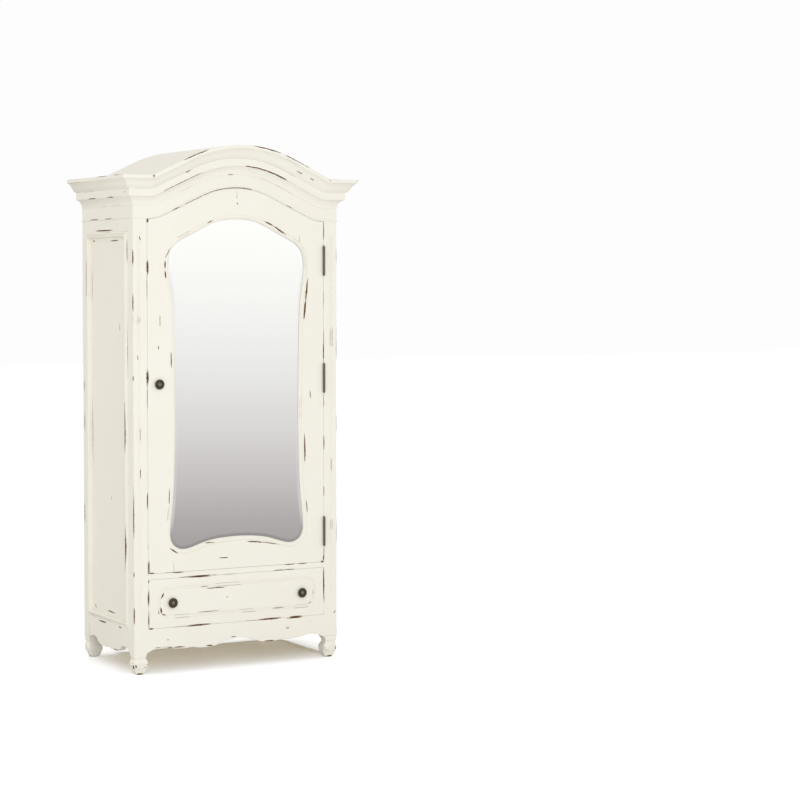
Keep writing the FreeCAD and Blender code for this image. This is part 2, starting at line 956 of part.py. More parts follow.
def catch_packing():
    """Return the block that fills the room between the upper case and the arch."""
    y0 = door_back + catch_setback
    half = catch_length / 2
    return box(-catch_packing_height, 0, y0, y0 + catch_depth, -half, half)


def on_left_post(shape):
    """Place a catch piece on the left post's inner face."""
    return moved(shape, -half_opening, 0, floor_top + lower_catch_rise)


def under_arch(shape):
    """Place a catch piece below the arched rail, turned so that its base is up."""
    copy = shape.copy()
    copy.rotate(Vector(0, 0, 0), along_y, 90)
    return moved(copy, upper_catch_inset - half_opening, 0, arch_base)


# Door


def make_knob(x, z, face_y):
    """Return a turned knob: a flange with a raised ring, a neck and a domed head."""
    ring_outer = knob_radius
    ring_inner = knob_radius - knob_ring_width
    neck_top = knob_flange_thickness + knob_neck_length
    waist = (knob_neck_radius * knob_neck_share, knob_flange_thickness + knob_neck_length / 2)
    shoulder = (knob_dome_radius * knob_dome_share, knob_projection - knob_ring_rise)
    section = outline(
        lambda radius, out: Vector(radius, -out, 0),
        (0, -knob_stem_length),
        ((knob_stem_radius, -knob_stem_length),),
        ((knob_stem_radius, 0),),
        ((ring_outer, 0),),
        ((ring_outer, knob_flange_thickness),),
        (
            ((ring_outer + ring_inner) / 2, knob_flange_thickness + knob_ring_rise),
            (ring_inner, knob_flange_thickness),
        ),
        ((knob_neck_radius, knob_flange_thickness),),
        (waist, (knob_neck_radius, neck_top)),
        ((knob_dome_radius, neck_top + knob_ring_rise),),
        (shoulder, (knob_tip_radius, knob_projection)),
        ((0, knob_projection),),
    )
    knob = Part.Face(section).revolve(Vector(0, 0, 0), along_y, 360)
    return moved(knob, x, face_y, z)


def make_door_frame(hinges, knob, strikes):
    """Return the two stiles and the two rails, cut for the glass and the fittings."""
    blank = below_arch(-door_gap, half_width, door_bottom, 0, door_back)
    opening = mirror_plate(0, -cut_overrun, door_back + cut_overrun)
    rebate = mirror_plate(glass_seat, glass_lip, door_back + cut_overrun)
    fittings = Part.makeCompound([knob] + strikes + hinges["hinge_door_leaves"] + hinges["hinge_door_screws"])
    head = arch_base + arch_rise
    rail_half = door_half - stile_width
    stile = box(rail_half, door_half, 0, door_back, door_bottom, head)
    top_bottom = mirror_bottom + mirror_height * top_rail_share
    bottom_top = mirror_bottom + mirror_height * bottom_rail_share
    frame = {
        "door_left_stile": mirrored_x(stile),
        "door_right_stile": stile,
        "door_top_rail": box(-rail_half, rail_half, 0, door_back, top_bottom, head),
        "door_bottom_rail": box(-rail_half, rail_half, 0, door_back, door_bottom, bottom_top),
    }
    return {
        name: piece.common(blank).cut(opening).cut(rebate).cut(fittings)
        for name, piece in frame.items()
    }


def make_mirror_glass():
    """Return the mirror with its bevelled border."""
    rim = glass_seat - glass_clearance
    bevel_back = door_panel_front - glass_edge
    back = mirror_plate(rim, bevel_back, door_panel_front)
    bevel = mirror_loft(((rim, bevel_back), (rim - glass_bevel_width, glass_lip)))
    return fused([back, bevel])


def mirror_loft(steps):
    """Return a solid that runs through the mirror's outline at several offsets."""
    wires = [moved(mirror_wire(offset), 0, y, 0) for offset, y in steps]
    return Part.makeLoft(wires, True, True)


def make_mirror_bead():
    """Return the raised, rounded bead round the mirror."""
    width = mirror_bead_width
    rise = mirror_bead_rise
    shoulder = rise * mirror_bead_shoulder_share
    inner_crest = width * (1 - mirror_bead_crest_share) / 2
    inner_shoulder = inner_crest / 2
    outer = mirror_loft(
        (
            (width, 0),
            (width - inner_shoulder, -shoulder),
            (width - inner_crest, -rise),
        )
    )
    inner = mirror_loft(
        (
            (0, cut_overrun),
            (0, 0),
            (inner_shoulder, -shoulder),
            (inner_crest, -rise),
            (inner_crest, -rise - cut_overrun),
        )
    )
    return outer.cut(inner)


# Drawer


def make_drawer_guides():
    """Return the lipped runners below the drawer and the kickers above it."""
    inner = half_opening - runner_width
    lip = half_opening - runner_lip_width
    runner = outline(
        lambda x, z: Vector(x, rail_thickness, z),
        (inner, runner_top - runner_height),
        ((half_opening, runner_top - runner_height),),
        ((half_opening, runner_top + runner_lip_height),),
        ((lip, runner_top + runner_lip_height),),
        ((lip, runner_top),),
        ((inner, runner_top),),
    )
    runner = slab(runner, along_y, back_rail_front - rail_thickness)
    kicker = box(
        inner,
        half_opening,
        rail_thickness,
        back_panel_front,
        drawer_side_top + kicker_play,
        floor_top - floor_thickness,
    )
    return [runner, mirrored_x(runner), kicker, mirrored_x(kicker)]


def rounded_field(half_long, low, high, radius):
    """Return an outline with round corners on the drawer front."""
    bend = radius * (1 - cos(mitre_angle))
    return outline(
        in_front_view,
        (half_long - radius, low),
        ((half_long - bend, low + bend), (half_long, low + radius)),
        ((half_long, high - radius),),
        ((half_long - bend, high - bend), (half_long - radius, high)),
        ((radius - half_long, high),),
        ((bend - half_long, high - bend), (-half_long, high - radius)),
        ((-half_long, low + radius),),
        ((bend - half_long, low + bend), (radius - half_long, low)),
    )


def make_drawer_front(knobs):
    """Return the drawer front with a routed line round its raised field."""
    half = half_opening - drawer_gap
    low = apron_top + drawer_gap
    high = apron_top + drawer_opening_height - drawer_gap
    front = box(-half, half, 0, drawer_front_thickness, low, high)
    field_low = apron_top + drawer_field_rise - drawer_gap
    field_high = field_low + drawer_field_height
    half_field = drawer_field_width / 2
    width = drawer_groove_width
    inner = slab(
        rounded_field(half_field, field_low, field_high, drawer_field_radius), along_y, drawer_groove_depth
    )
    outer = slab(
        rounded_field(
            half_field + width, field_low - width, field_high + width, drawer_field_radius + width
        ),
        along_y,
        drawer_groove_depth,
    )
    return front.cut(outer.cut(inner)).cut(Part.makeCompound(knobs))


def make_drawer_bottom():
    """Return the drawer's bottom panel, housed in its sides."""
    half = drawer_side_inner + drawer_bottom_seat
    z0 = drawer_side_bottom + drawer_bottom_rise
    return box(-half, half, drawer_front_thickness, drawer_box_back, z0, z0 + drawer_bottom_thickness)


def make_drawer_side(bottom):
    """Return the right side of the drawer."""
    side = box(
        drawer_side_inner,
        drawer_side_outer,
        drawer_front_thickness,
        drawer_box_back,
        drawer_side_bottom,
        drawer_side_top,
    )
    return side.cut(bottom)


def make_drawer_back():
    """Return the drawer's back, which stands on the bottom panel."""
    y1 = drawer_box_back - drawer_back_inset
    z0 = drawer_side_bottom + drawer_bottom_rise + drawer_bottom_thickness
    return box(
        -drawer_side_inner,
        drawer_side_inner,
        y1 - drawer_back_thickness,
        y1,
        z0,
        drawer_side_top - drawer_back_drop,
    )


os.makedirs("parts", exist_ok=True)

# Carcass pieces
panel_housing = side_panel_blank(running_clearance)
left_panel = side_panel_blank(0)
back_panel = back_panel_blank()
shelf_pins = make_shelf_pins()
posts = make_posts(panel_housing, back_panel, shelf_pins)
hinges = make_hinges()
hinge_mortises = Part.makeCompound(hinges["hinge_post_leaves"] + hinges["hinge_post_screws"])
posts["right_front_post"] = posts["right_front_post"].cut(hinge_mortises)
for name, post in posts.items():
    keep(name, post)

front_foot = make_foot()
back_foot = mirrored_y(front_foot)
keep("left_front_foot", front_foot)
keep("right_front_foot", mirrored_x(front_foot))
keep("left_back_foot", back_foot)
keep("right_back_foot", mirrored_x(back_foot))

side_bottom_rail = make_side_bottom_rail(panel_housing)
side_top_rail = make_side_top_rail(panel_housing)
panel_moulding = make_panel_moulding()
keep("left_side_bottom_rail", side_bottom_rail)
keep("right_side_bottom_rail", mirrored_x(side_bottom_rail))
keep("left_side_top_rail", side_top_rail)
keep("right_side_top_rail", mirrored_x(side_top_rail))
keep("left_side_panel", left_panel)
keep("right_side_panel", mirrored_x(left_panel))
keep("left_panel_moulding", *panel_moulding)
keep("right_panel_moulding", *[mirrored_x(length) for length in panel_moulding])

keep("back_panel", back_panel)
keep(
    "back_bottom_rail",
    box(-half_opening, half_opening, back_rail_front, body_depth, back_rail_bottom, back_rail_top),
)
keep("front_apron", make_apron())
mid_rail_bottom = apron_top + drawer_opening_height
keep(
    "front_mid_rail",
    box(-half_opening, half_opening, 0, rail_thickness, mid_rail_bottom, door_opening_base),
)
arched_rail = arched_plate(0, roof_underside, half_opening, 0, post_depth)
keep("arched_top_rail", arched_rail)
ceiling = arched_plate(0, ceiling_thickness, side_rail_inner, post_depth, back_panel_front)
keep("ceiling_panel", ceiling.cut(Part.makeCompound(list(posts.values()))))
keep("roof_panel", arched_plate(roof_underside, cornice_height, half_width, 0, body_depth))
cornice_front, cornice_left, cornice_right = make_cornice()
keep("front_cornice", cornice_front)
keep("left_cornice_return", cornice_left)
keep("right_cornice_return", cornice_right)
keep("frieze_bead", *make_frieze_bead())

# Interior
keep("cabinet_floor", make_cabinet_floor(posts))
for name, top in zip(("lower_shelf", "middle_shelf", "upper_shelf"), shelf_tops()):
    keep(name, make_shelf(top))
keep("shelf_pins", *shelf_pins)
keep("rod_supports", *make_rod_supports())
keep("hanging_rod", make_hanging_rod())
keep("drawer_guides", *make_drawer_guides())

# Catches
upper_case = under_arch(fused([catch_case(), catch_packing()])).cut(arched_rail)
keep("catch_cases", upper_case, on_left_post(catch_case()))
keep("lower_catch_bottom_roller", on_left_post(catch_roller(-1)))
keep("lower_catch_top_roller", on_left_post(catch_roller(1)))
keep("upper_catch_left_roller", under_arch(catch_roller(-1)))
keep("upper_catch_right_roller", under_arch(catch_roller(1)))
strikes = [under_arch(catch_strike()), on_left_post(catch_strike())]
keep("catch_strikes", *strikes)

# Hinges
for name, pieces in hinges.items():
    keep(name, *pieces)

# Door
door_knob = make_knob(door_knob_inset - door_half, door_knob_height, 0)
for name, piece in make_door_frame(hinges, door_knob, strikes).items():
    keep(name, piece)
keep("mirror_glass", make_mirror_glass())
keep("mirror_bead", make_mirror_bead())
door_panel_back = door_panel_front + door_panel_thickness
keep("door_back_panel", mirror_plate(glass_seat - glass_clearance, door_panel_front, door_panel_back))
keep("door_knob", door_knob)

# Drawer
drawer_knobs = [make_knob(side * drawer_knob_offset, drawer_knob_height, 0) for side in (-1, 1)]
drawer_bottom = make_drawer_bottom()
drawer_side = make_drawer_side(drawer_bottom)
keep("drawer_front", make_drawer_front(drawer_knobs))
keep("drawer_right_side", drawer_side)
keep("drawer_left_side", mirrored_x(drawer_side))
keep("drawer_back", make_drawer_back())
keep("drawer_bottom", drawer_bottom)
keep("drawer_knobs", *drawer_knobs)
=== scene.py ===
"""Dress a painted armoire with a shaped mirror in its door and a drawer below, round its fixed frame.

Sizes are in millimetres in the classes and turned to metres where a mesh or a material is made.
x runs to the right, y to the back and z up, from the floor below the middle of the armoire.
"""

import json
import logging
import math
from collections.abc import Sequence
from dataclasses import dataclass, replace
from enum import Enum

import bpy
from bpy.types import Material, Node, NodeSocket, NodeTree, Object, World
from mathutils import Euler, Matrix, Vector

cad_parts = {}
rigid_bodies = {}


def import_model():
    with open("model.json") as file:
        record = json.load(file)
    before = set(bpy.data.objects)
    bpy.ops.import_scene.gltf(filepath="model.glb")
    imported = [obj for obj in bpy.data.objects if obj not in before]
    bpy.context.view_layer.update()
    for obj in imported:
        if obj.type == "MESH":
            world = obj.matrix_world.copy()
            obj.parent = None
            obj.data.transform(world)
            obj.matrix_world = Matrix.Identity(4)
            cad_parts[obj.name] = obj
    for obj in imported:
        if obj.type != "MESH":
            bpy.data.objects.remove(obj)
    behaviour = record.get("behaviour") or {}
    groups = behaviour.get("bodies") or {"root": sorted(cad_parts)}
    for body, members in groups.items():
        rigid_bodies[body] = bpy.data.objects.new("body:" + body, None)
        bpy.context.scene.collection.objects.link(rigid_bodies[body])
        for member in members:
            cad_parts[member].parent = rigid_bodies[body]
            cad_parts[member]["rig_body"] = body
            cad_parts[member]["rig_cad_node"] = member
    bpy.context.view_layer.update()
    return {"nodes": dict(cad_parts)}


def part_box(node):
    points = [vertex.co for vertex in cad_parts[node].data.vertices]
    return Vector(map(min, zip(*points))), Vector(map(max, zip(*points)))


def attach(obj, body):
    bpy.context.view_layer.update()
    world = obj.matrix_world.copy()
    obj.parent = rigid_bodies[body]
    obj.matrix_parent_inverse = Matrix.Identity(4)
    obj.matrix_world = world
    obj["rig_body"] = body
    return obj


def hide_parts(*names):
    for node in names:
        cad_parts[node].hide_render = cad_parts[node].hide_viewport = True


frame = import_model()

log = logging.getLogger("armoire")

# One millimetre in metres, and the planes of the posts' outer faces in millimetres
MM = 0.001
FRONT_LEVEL = -234.0
BACK_LEVEL = 300.0
SIDE_LEVEL = 453.0

# Corners of a mesh that are nearer than this, in metres, are at one spot
SAME_SPOT = 0.00002


class Face(Enum):
    """A side of the armoire, by the direction that it looks in."""

    FRONT = (0.0, -1.0, 0.0)
    BACK = (0.0, 1.0, 0.0)
    LEFT = (-1.0, 0.0, 0.0)
    RIGHT = (1.0, 0.0, 0.0)


class Grain(Enum):
    """The way that the wood's grain and the painter's brush run."""

    ACROSS = 0
    DEEP = 1
    UPRIGHT = 2


# Small tools


def linear(hex_colour: str) -> tuple[float, float, float, float]:
    """Turn an sRGB hex colour into linear light.

    Args:
        hex_colour: Six hex digits after a hash sign.

    Returns:
        Red, green and blue in linear light, and an alpha of one.
    """
    channels = []
    for start in (1, 3, 5):
        value = int(hex_colour[start:start + 2], 16) / 255
        channels.append(value / 12.92 if value <= 0.04045 else ((value + 0.055) / 1.055) ** 2.4)
    return (channels[0], channels[1], channels[2], 1.0)


def plug(tree: NodeTree, node: Node, inputs: dict) -> None:
    """Give a node's inputs their values and links.

    Args:
        tree: The node tree.
        node: The node.
        inputs: Values, sockets or nodes, by the inputs' names or numbers. A node stands for
            its first output.
    """
    for key, value in inputs.items():
        if isinstance(value, Node):
            value = value.outputs[0]
        if isinstance(value, NodeSocket):
            tree.links.new(value, node.inputs[key])
        else:
            node.inputs[key].default_value = value


def add(tree: NodeTree, kind: str, inputs: dict | None = None, **settings) -> Node:
    """Add a shader node with its settings, its values and its links.

    Args:
        tree: The node tree that gets the node.
        kind: The node's type name, without its ShaderNode prefix.
        inputs: What its inputs get, as for plug.
        **settings: Properties of the node.

    Returns:
        The new node.
    """
    node = tree.nodes.new("ShaderNode" + kind)
    for name, value in settings.items():
        setattr(node, name, value)
    plug(tree, node, inputs or {})
    return node


def empty_tree(owner: Material | World) -> NodeTree:
    """Give a material or a world a node tree with nothing in it.

    Args:
        owner: The material or the world.

    Returns:
        Its node tree.
    """
    owner.use_nodes = True
    owner.node_tree.nodes.clear()
    return owner.node_tree


def blank_material(name: str) -> tuple[Material, NodeTree, Node]:
    """Start a material with one surface shader.

    Args:
        name: The material's name.

    Returns:
        The material, its node tree and its surface shader.
    """
    material = bpy.data.materials.new(name)
    tree = empty_tree(material)
    surface = add(tree, "BsdfPrincipled")
    add(tree, "OutputMaterial", {"Surface": surface})
    return material, tree, surface


def along_grain(grain: Grain, across: float, along: float) -> Vector:
    """Give the scale that turns metres into pattern sizes, long ways with the grain.

    Args:
        grain: The way that the pattern is drawn out.
        across: Its size across the grain.
        along: Its size along the grain.

    Returns:
        The scale, for a Mapping node.
    """
    scale = Vector((1 / (across * MM),) * 3)
    scale[grain.value] = 1 / (along * MM)
    return scale


def flatness(tree: NodeTree, radius: float) -> NodeSocket:
    """Measure how flat the skin is round a point: one on a face, less near an edge.

    Args:
        tree: The material's node tree.
        radius: How far an edge is felt.

    Returns:
        The socket that holds the measure.
    """
    rounded = add(tree, "Bevel", {"Radius": radius * MM}, samples=4)
    flat = add(tree, "NewGeometry")
    return add(tree, "VectorMath", {0: rounded, 1: flat.outputs["Normal"]},
               operation="DOT_PRODUCT").outputs["Value"]


def fill_ramp(node: Node, stops: Sequence[tuple[float, str]]) -> None:
    """Give a colour ramp its colours.

    Args:
        node: The colour ramp.
        stops: The place and colour of each stop, from first to last.
    """
    elements = node.color_ramp.elements
    for element, (place, colour) in zip((elements[0], elements[1]), (stops[0], stops[-1])):
        element.position = place
        element.color = linear(colour)
    for place, colour in stops[1:-1]:
        elements.new(place).color = linear(colour)


def go_to(mode: str) -> None:
    """Go to EDIT or OBJECT mode."""
    bpy.ops.object.mode_set(mode=mode)


def deselect_all() -> None:
    """Leave edit mode and select nothing."""
    if bpy.context.object and bpy.context.object.mode != "OBJECT":
        go_to("OBJECT")
    bpy.ops.object.select_all(action="DESELECT")


def choose(piece: Object) -> None:
    """Make one piece the only selected and active one.

    Args:
        piece: The piece.
    """
    deselect_all()
    piece.select_set(True)
    bpy.context.view_layer.objects.active = piece


def finish_with(piece: Object, kind: str, apply: bool = True, **settings) -> None:
    """Add a modifier to a piece, and apply it unless told not to.

    Args:
        piece: The piece that gets the modifier.
        kind: The modifier's type.
        apply: Whether the modifier is applied to the mesh.
        **settings: Properties of the modifier.
    """
    modifier = piece.modifiers.new(kind.title(), kind)
    for name, value in settings.items():
        setattr(modifier, name, value)
    if apply:
        choose(piece)
        bpy.ops.object.modifier_apply(modifier=modifier.name)


def soften(piece: Object, radius: float) -> None:
    """Round a piece's sharp edges with live modifiers.

    Args:
        piece: The piece.
        radius: The width of the rounding.
    """
    finish_with(piece, "WELD", apply=False, merge_threshold=SAME_SPOT / 2)
    finish_with(piece, "BEVEL", apply=False, width=radius * MM, segments=2, limit_method="ANGLE",
                angle_limit=math.radians(35), harden_normals=False, use_clamp_overlap=True)


def dress(piece: Object, *materials: Material) -> None:
    """Give a piece its finishes and report it.

    Args:
        piece: The piece.
        *materials: The finish that covers it, and any others that single faces take.
    """
    piece.data.materials.clear()
    for material in materials:
        piece.data.materials.append(material)
    log.info("%s: %s, %d faces", piece.name, materials[0].name, len(piece.data.polygons))


def open_with(piece: Object, part: str, numbers: list[int]) -> None:
    """Open a piece in edit mode with only some of its faces or corners picked.

    Args:
        piece: The piece.
        part: FACE or VERT.
        numbers: The places of the faces or corners in the mesh's list.
    """
    choose(piece)
    go_to("EDIT")
    bpy.ops.mesh.select_mode(type=part)
    bpy.ops.mesh.select_all(action="DESELECT")
    go_to("OBJECT")
    parts = piece.data.polygons if part == "FACE" else piece.data.vertices
    for number in numbers:
        parts[number].select = True
    go_to("EDIT")


def end_face(piece: Object, face: Face) -> int:
    """Find the flat end of a piece that looks one way and lies furthest that way.

    Args:
        piece: The piece.
        face: The way.

    Returns:
        The place of the end in the mesh's list of faces.
    """
    way = Vector(face.value)
    ends = [part for part in piece.data.polygons if part.normal.dot(way) > 0.99]
    return max(ends, key=lambda part: part.center.dot(way)).index


def bend_rod(name: str, spots: list[Vector], radius: float, thickness: list[float]) -> Object:
    """Bend a round rod through points. It closes on itself if no thickness is given.

    Args:
        name: The rod's name.
        spots: The points, in metres.
        radius: The rod's radius.
        thickness: The rod's share of its radius at each point.

    Returns:
        The rod as a mesh.
    """
    curve = bpy.data.curves.new(name, "CURVE")
    curve.dimensions = "3D"
    curve.bevel_depth = radius * MM
    curve.bevel_resolution = 3
    curve.use_fill_caps = bool(thickness)
    spline = curve.splines.new("POLY")
    spline.points.add(len(spots) - 1)
    spline.use_cyclic_u = not thickness
    for point, spot, share in zip(spline.points, spots, thickness or [1.0] * len(spots)):
        point.co = (*spot, 1.0)
        point.radius = share
    rod = bpy.data.objects.new(curve.name, curve)
    bpy.context.scene.collection.objects.link(rod)
    choose(rod)
    bpy.ops.object.convert(target="MESH")
    return bpy.context.object


# Shape of the arch, which the cornice and its worn lines follow


@dataclass(frozen=True)
class Arch:
    """The door's arch: level at its ends, a hollow, a straight ramp and a round crown."""

    half_opening: float = 393.0
    base: float = 1807.0
    slope_degrees: float = 25.1
    shoulder_radius: float = 173.0
    crown_radius: float = 356.0

    def height(self, x: float, offset: float) -> float:
        """Give the height of a line that runs beside the arch.

        Args:
            x: The place across the armoire.
            offset: The line's distance from the arch, square to it.

        Returns:
            The height above the floor.
        """
        slope = math.radians(self.slope_degrees)
        both_radii = self.shoulder_radius + self.crown_radius
        ramp_run = self.half_opening - both_radii * math.sin(slope)
        rise = both_radii * (1 - math.cos(slope)) + ramp_run * math.tan(slope)
        crown_centre = self.base + rise - self.crown_radius
        shoulder_centre = self.base + self.shoulder_radius
        crown = self.crown_radius + offset
        shoulder = self.shoulder_radius - offset
        across = abs(x)
        crown_end = crown * math.sin(slope)
        shoulder_end = self.half_opening - shoulder * math.sin(slope)
        if across <= crown_end:
            return crown_centre + math.sqrt(crown**2 - across**2)
        if across <= shoulder_end:
            ramp_top = crown_centre + crown * math.cos(slope)
            return ramp_top - (across - crown_end) * math.tan(slope)
        if across <= self.half_opening:
            return shoulder_centre - math.sqrt(shoulder**2 - (self.half_opening - across) ** 2)
        return self.base + offset


# Worn paint


@dataclass(frozen=True)
class Chip:
    """A long place where the paint has come off, between two points in millimetres; on the feet's whorls
    the same mark is painted shade.
    """

    start: tuple[float, float, float]
    end: tuple[float, float, float]
    width: float
    reach: float
    face: Face

    def placing(self) -> tuple[Vector, Euler, Vector]:
        """Place the egg that holds the chip.

        Returns:
            The egg's middle, its turn and its half sizes, in metres.
        """
        along = Vector(self.end) - Vector(self.start)
        half_length = max(along.length / 2, self.width / 2)
        middle = (Vector(self.start) + Vector(self.end)) / 2
        normal = Vector(self.face.value)
        direction = along.normalized()
        side = normal.cross(direction).normalized()
        outward = direction.cross(side)
        turn = Matrix((direction, side, outward)).transposed().to_euler()
        return middle * MM, turn, Vector((half_length, self.width / 2, self.reach)) * MM


@dataclass(frozen=True)
class Surface:
    """A flat face of the armoire on which chips are placed."""

    face: Face
    level: float
    reach: float = 6.0

    def chips(self, *rows: tuple[float, float, float, float, float]) -> tuple[Chip, ...]:
        """Place chips on the face.

        Args:
            *rows: For each chip the place along the face and the height of its start, the
                same for its end, and its widest size across its length.

        Returns:
            The chips.
        """
        made = []
        for along0, height0, along1, height1, width in rows:
            if self.face in (Face.FRONT, Face.BACK):
                start, end = (along0, self.level, height0), (along1, self.level, height1)
            else:
                start, end = (self.level, along0, height0), (self.level, along1, height1)
            made.append(Chip(start, end, width, self.reach, self.face))
        return tuple(made)


@dataclass(frozen=True)
class Trail:
    """A line of the cornice, at a distance above the arch, along which chips run."""

    offset: float
    level: float
    arch: Arch = Arch()
    step: float = 40.0
    reach: float = 8.0

    def chips(self, *rows: tuple[float, float, float]) -> tuple[Chip, ...]:
        """Place chips along the line, each in short lengths that follow its bend.

        Args:
            *rows: For each chip where it starts, where it ends, and its widest size across
                its length.

        Returns:
            The chips that make them up.
        """
        made = []
        for start, end, width in rows:
            count = max(1, round(abs(end - start) / self.step))
            length = (end - start) / count
            lap = self.step * 0.25 if count > 1 else 0.0
            for number in range(count):
                ends = []
                for x in (start + length * number - lap, start + length * (number + 1) + lap):
                    ends.append((x, self.level, self.arch.height(x, self.offset)))
                made.append(Chip(*ends, width, self.reach, Face.FRONT))
        return tuple(made)


@dataclass(frozen=True)
class WornPaint:
    """Milk paint brushed over stained beech, then rubbed through.

    It gives the eye a soft, nearly even off-white with fine brush lines, and long ragged
    chips that show the brown wood along edges and joints.
    """

    name: str
    chips: tuple[Chip, ...] = ()
    grain: Grain = Grain.UPRIGHT
    paint: str = "#F6F3EA"
    shaded_paint: str = "#F2EEE2"
    primer: str = "#C4AB8C"
    dark_wood: str = "#33200E"
    wood_grain: tuple[float, float] = (3.0, 30.0)
    wood_stops: tuple[tuple[float, str], ...] = ((0.32, "#33200E"), (0.48, "#6A3C1B"), (0.72, "#96602F"))
    # Where each ring of a chip starts and ends, in shares of the chip, and how strong it is
    chip_rim: tuple[float, float, float] = (0.92, 1.02, 1.0)
    chip_halo: tuple[float, float, float] = (0.95, 1.3, 0.35)
    chip_core: tuple[float, float, float] = (0.25, 0.8, 0.55)
    # The brush lines and the wood's grain are coarser than real ones, which are too fine to show
    brush_width: float = 2.2
    brush_length: float = 110.0
    brush_bite: float = 1.5
    brush_middle: float = 0.52
    brush_relief: float = 0.12
    brush_depth: float = 0.6
    chip_relief: float = 0.7
    chip_depth: float = 0.5
    cloud_size: float = 250.0
    ragged_size: float = 7.0
    ragged_reach: float = 2.1
    edge_radius: float = 2.4
    edge_patch: float = 170.0
    edge_start: float = 0.60
    edge_fade: float = 0.03
    edge_bend: tuple[float, float] = (0.045, 0.075)
    speck_spacing: float = 120.0
    speck_radius: float = 2.2
    speck_chance: float = 0.28
    roughness: float = 0.46
    wood_roughness: float = 0.8

    def chip_distance(self, tree: NodeTree, place: Node) -> Node | NodeSocket:
        """Measure how far a point lies from the nearest chip, where one is its rim.

        Args:
            tree: The material's node tree.
            place: The point, already made ragged.

        Returns:
            What holds the distance.
        """
        nearest = None
        for chip in self.chips:
            middle, turn, half_sizes = chip.placing()
            inside = add(tree, "Mapping", {"Vector": place, "Location": middle, "Rotation": turn,
                                           "Scale": half_sizes}, vector_type="TEXTURE")
            length = add(tree, "VectorMath", {0: inside}, operation="LENGTH").outputs["Value"]
            if nearest is None:
                nearest = length
            else:
                nearest = add(tree, "Math", {0: nearest, 1: length}, operation="MINIMUM")
        return nearest

    def edge_wear(self, tree: NodeTree, place: NodeSocket, ragged: Node) -> Node:
        """Find the stretches of the piece's edges where the paint is rubbed thin.

        Args:
            tree: The material's node tree.
            place: The point on the piece.
            ragged: Fine noise that roughens the rubbed stretch's rim.

        Returns:
            The node that gives how much is rubbed off, from nothing to one.
        """
        low, high = self.edge_bend
        turned = add(tree, "Math", {0: 1.0, 1: flatness(tree, self.edge_radius)}, operation="SUBTRACT")
        rough = add(tree, "Math", {0: ragged, 1: 2 * low, 2: -low}, operation="MULTIPLY_ADD")
        near = add(tree, "Math", {0: turned, 1: rough}, operation="ADD")
        edge = add(tree, "MapRange", {"Value": near, "From Min": low, "From Max": high})
        patches = add(tree, "TexNoise", {"Vector": place, "Scale": 1 / (self.edge_patch * MM),
                                         "Detail": 1.0})
        chosen = add(tree, "MapRange", {"Value": patches, "From Min": self.edge_start,
                                        "From Max": self.edge_start + self.edge_fade})
        return add(tree, "Math", {0: edge, 1: chosen}, operation="MULTIPLY")

    def specks(self, tree: NodeTree, place: Node) -> Node:
        """Scatter a few small chips over the flat faces.

        Args:
            tree: The material's node tree.
            place: The point, already made ragged.

        Returns:
            The node that gives one inside a speck.
        """
        cells = add(tree, "TexVoronoi", {"Vector": place, "Scale": 1 / (self.speck_spacing * MM)})
        parts = add(tree, "SeparateColor", {0: cells.outputs["Color"]})
        size = self.speck_radius / self.speck_spacing
        small = add(tree, "MapRange", {"Value": cells.outputs["Distance"], "From Min": size * 0.8,
                                       "From Max": size * 1.2, "To Min": 1.0, "To Max": 0.0})
        few = add(tree, "Math", {0: parts, 1: 1 - self.speck_chance}, operation="GREATER_THAN")
        return add(tree, "Math", {0: small, 1: few}, operation="MULTIPLY")

    def make(self) -> Material:
        """Make the material.

        Returns:
            The worn paint, with its chips at their places.
        """
        material, tree, surface = blank_material(self.name)
        place = add(tree, "TexCoord").outputs["Object"]
        ragged = add(tree, "TexNoise", {"Vector": place, "Scale": 1 / (self.ragged_size * MM),
                                        "Detail": 3.0, "Roughness": 0.6})
        centred = add(tree, "VectorMath", {0: ragged.outputs["Color"], 1: (0.5, 0.5, 0.5)},
                      operation="SUBTRACT")
        shift = add(tree, "VectorMath", {0: centred, "Scale": 2 * self.ragged_reach * MM},
                    operation="SCALE")
        ragged_place = add(tree, "VectorMath", {0: place, 1: shift}, operation="ADD")
        brush_scale = along_grain(self.grain, self.brush_width, self.brush_length)
        streaked = add(tree, "Mapping", {"Vector": place, "Scale": brush_scale})
        brush = add(tree, "TexNoise", {"Vector": streaked, "Scale": 1.0, "Detail": 3.0})

        worn = self.specks(tree, ragged_place)
        rubbed = self.edge_wear(tree, place, ragged)
        worn = add(tree, "Math", {0: worn, 1: rubbed}, operation="MAXIMUM")
        halo = worn
        core = 0.0
        if self.chips:
            distance = self.chip_distance(tree, ragged_place)
            broken = add(tree, "Math", {0: brush, 1: self.brush_bite,
                                        2: -self.brush_bite * self.brush_middle}, operation="MULTIPLY_ADD")
            reach = add(tree, "Math", {0: distance, 1: broken}, operation="ADD")
            inside, around, core = (
                add(tree, "MapRange", {"Value": reach, "From Min": start, "From Max": end,
                                       "To Min": most, "To Max": 0.0})
                for start, end, most in (self.chip_rim, self.chip_halo, self.chip_core)
            )
            worn = add(tree, "Math", {0: worn, 1: inside}, operation="MAXIMUM")
            halo = add(tree, "Math", {0: worn, 1: around}, operation="MAXIMUM")

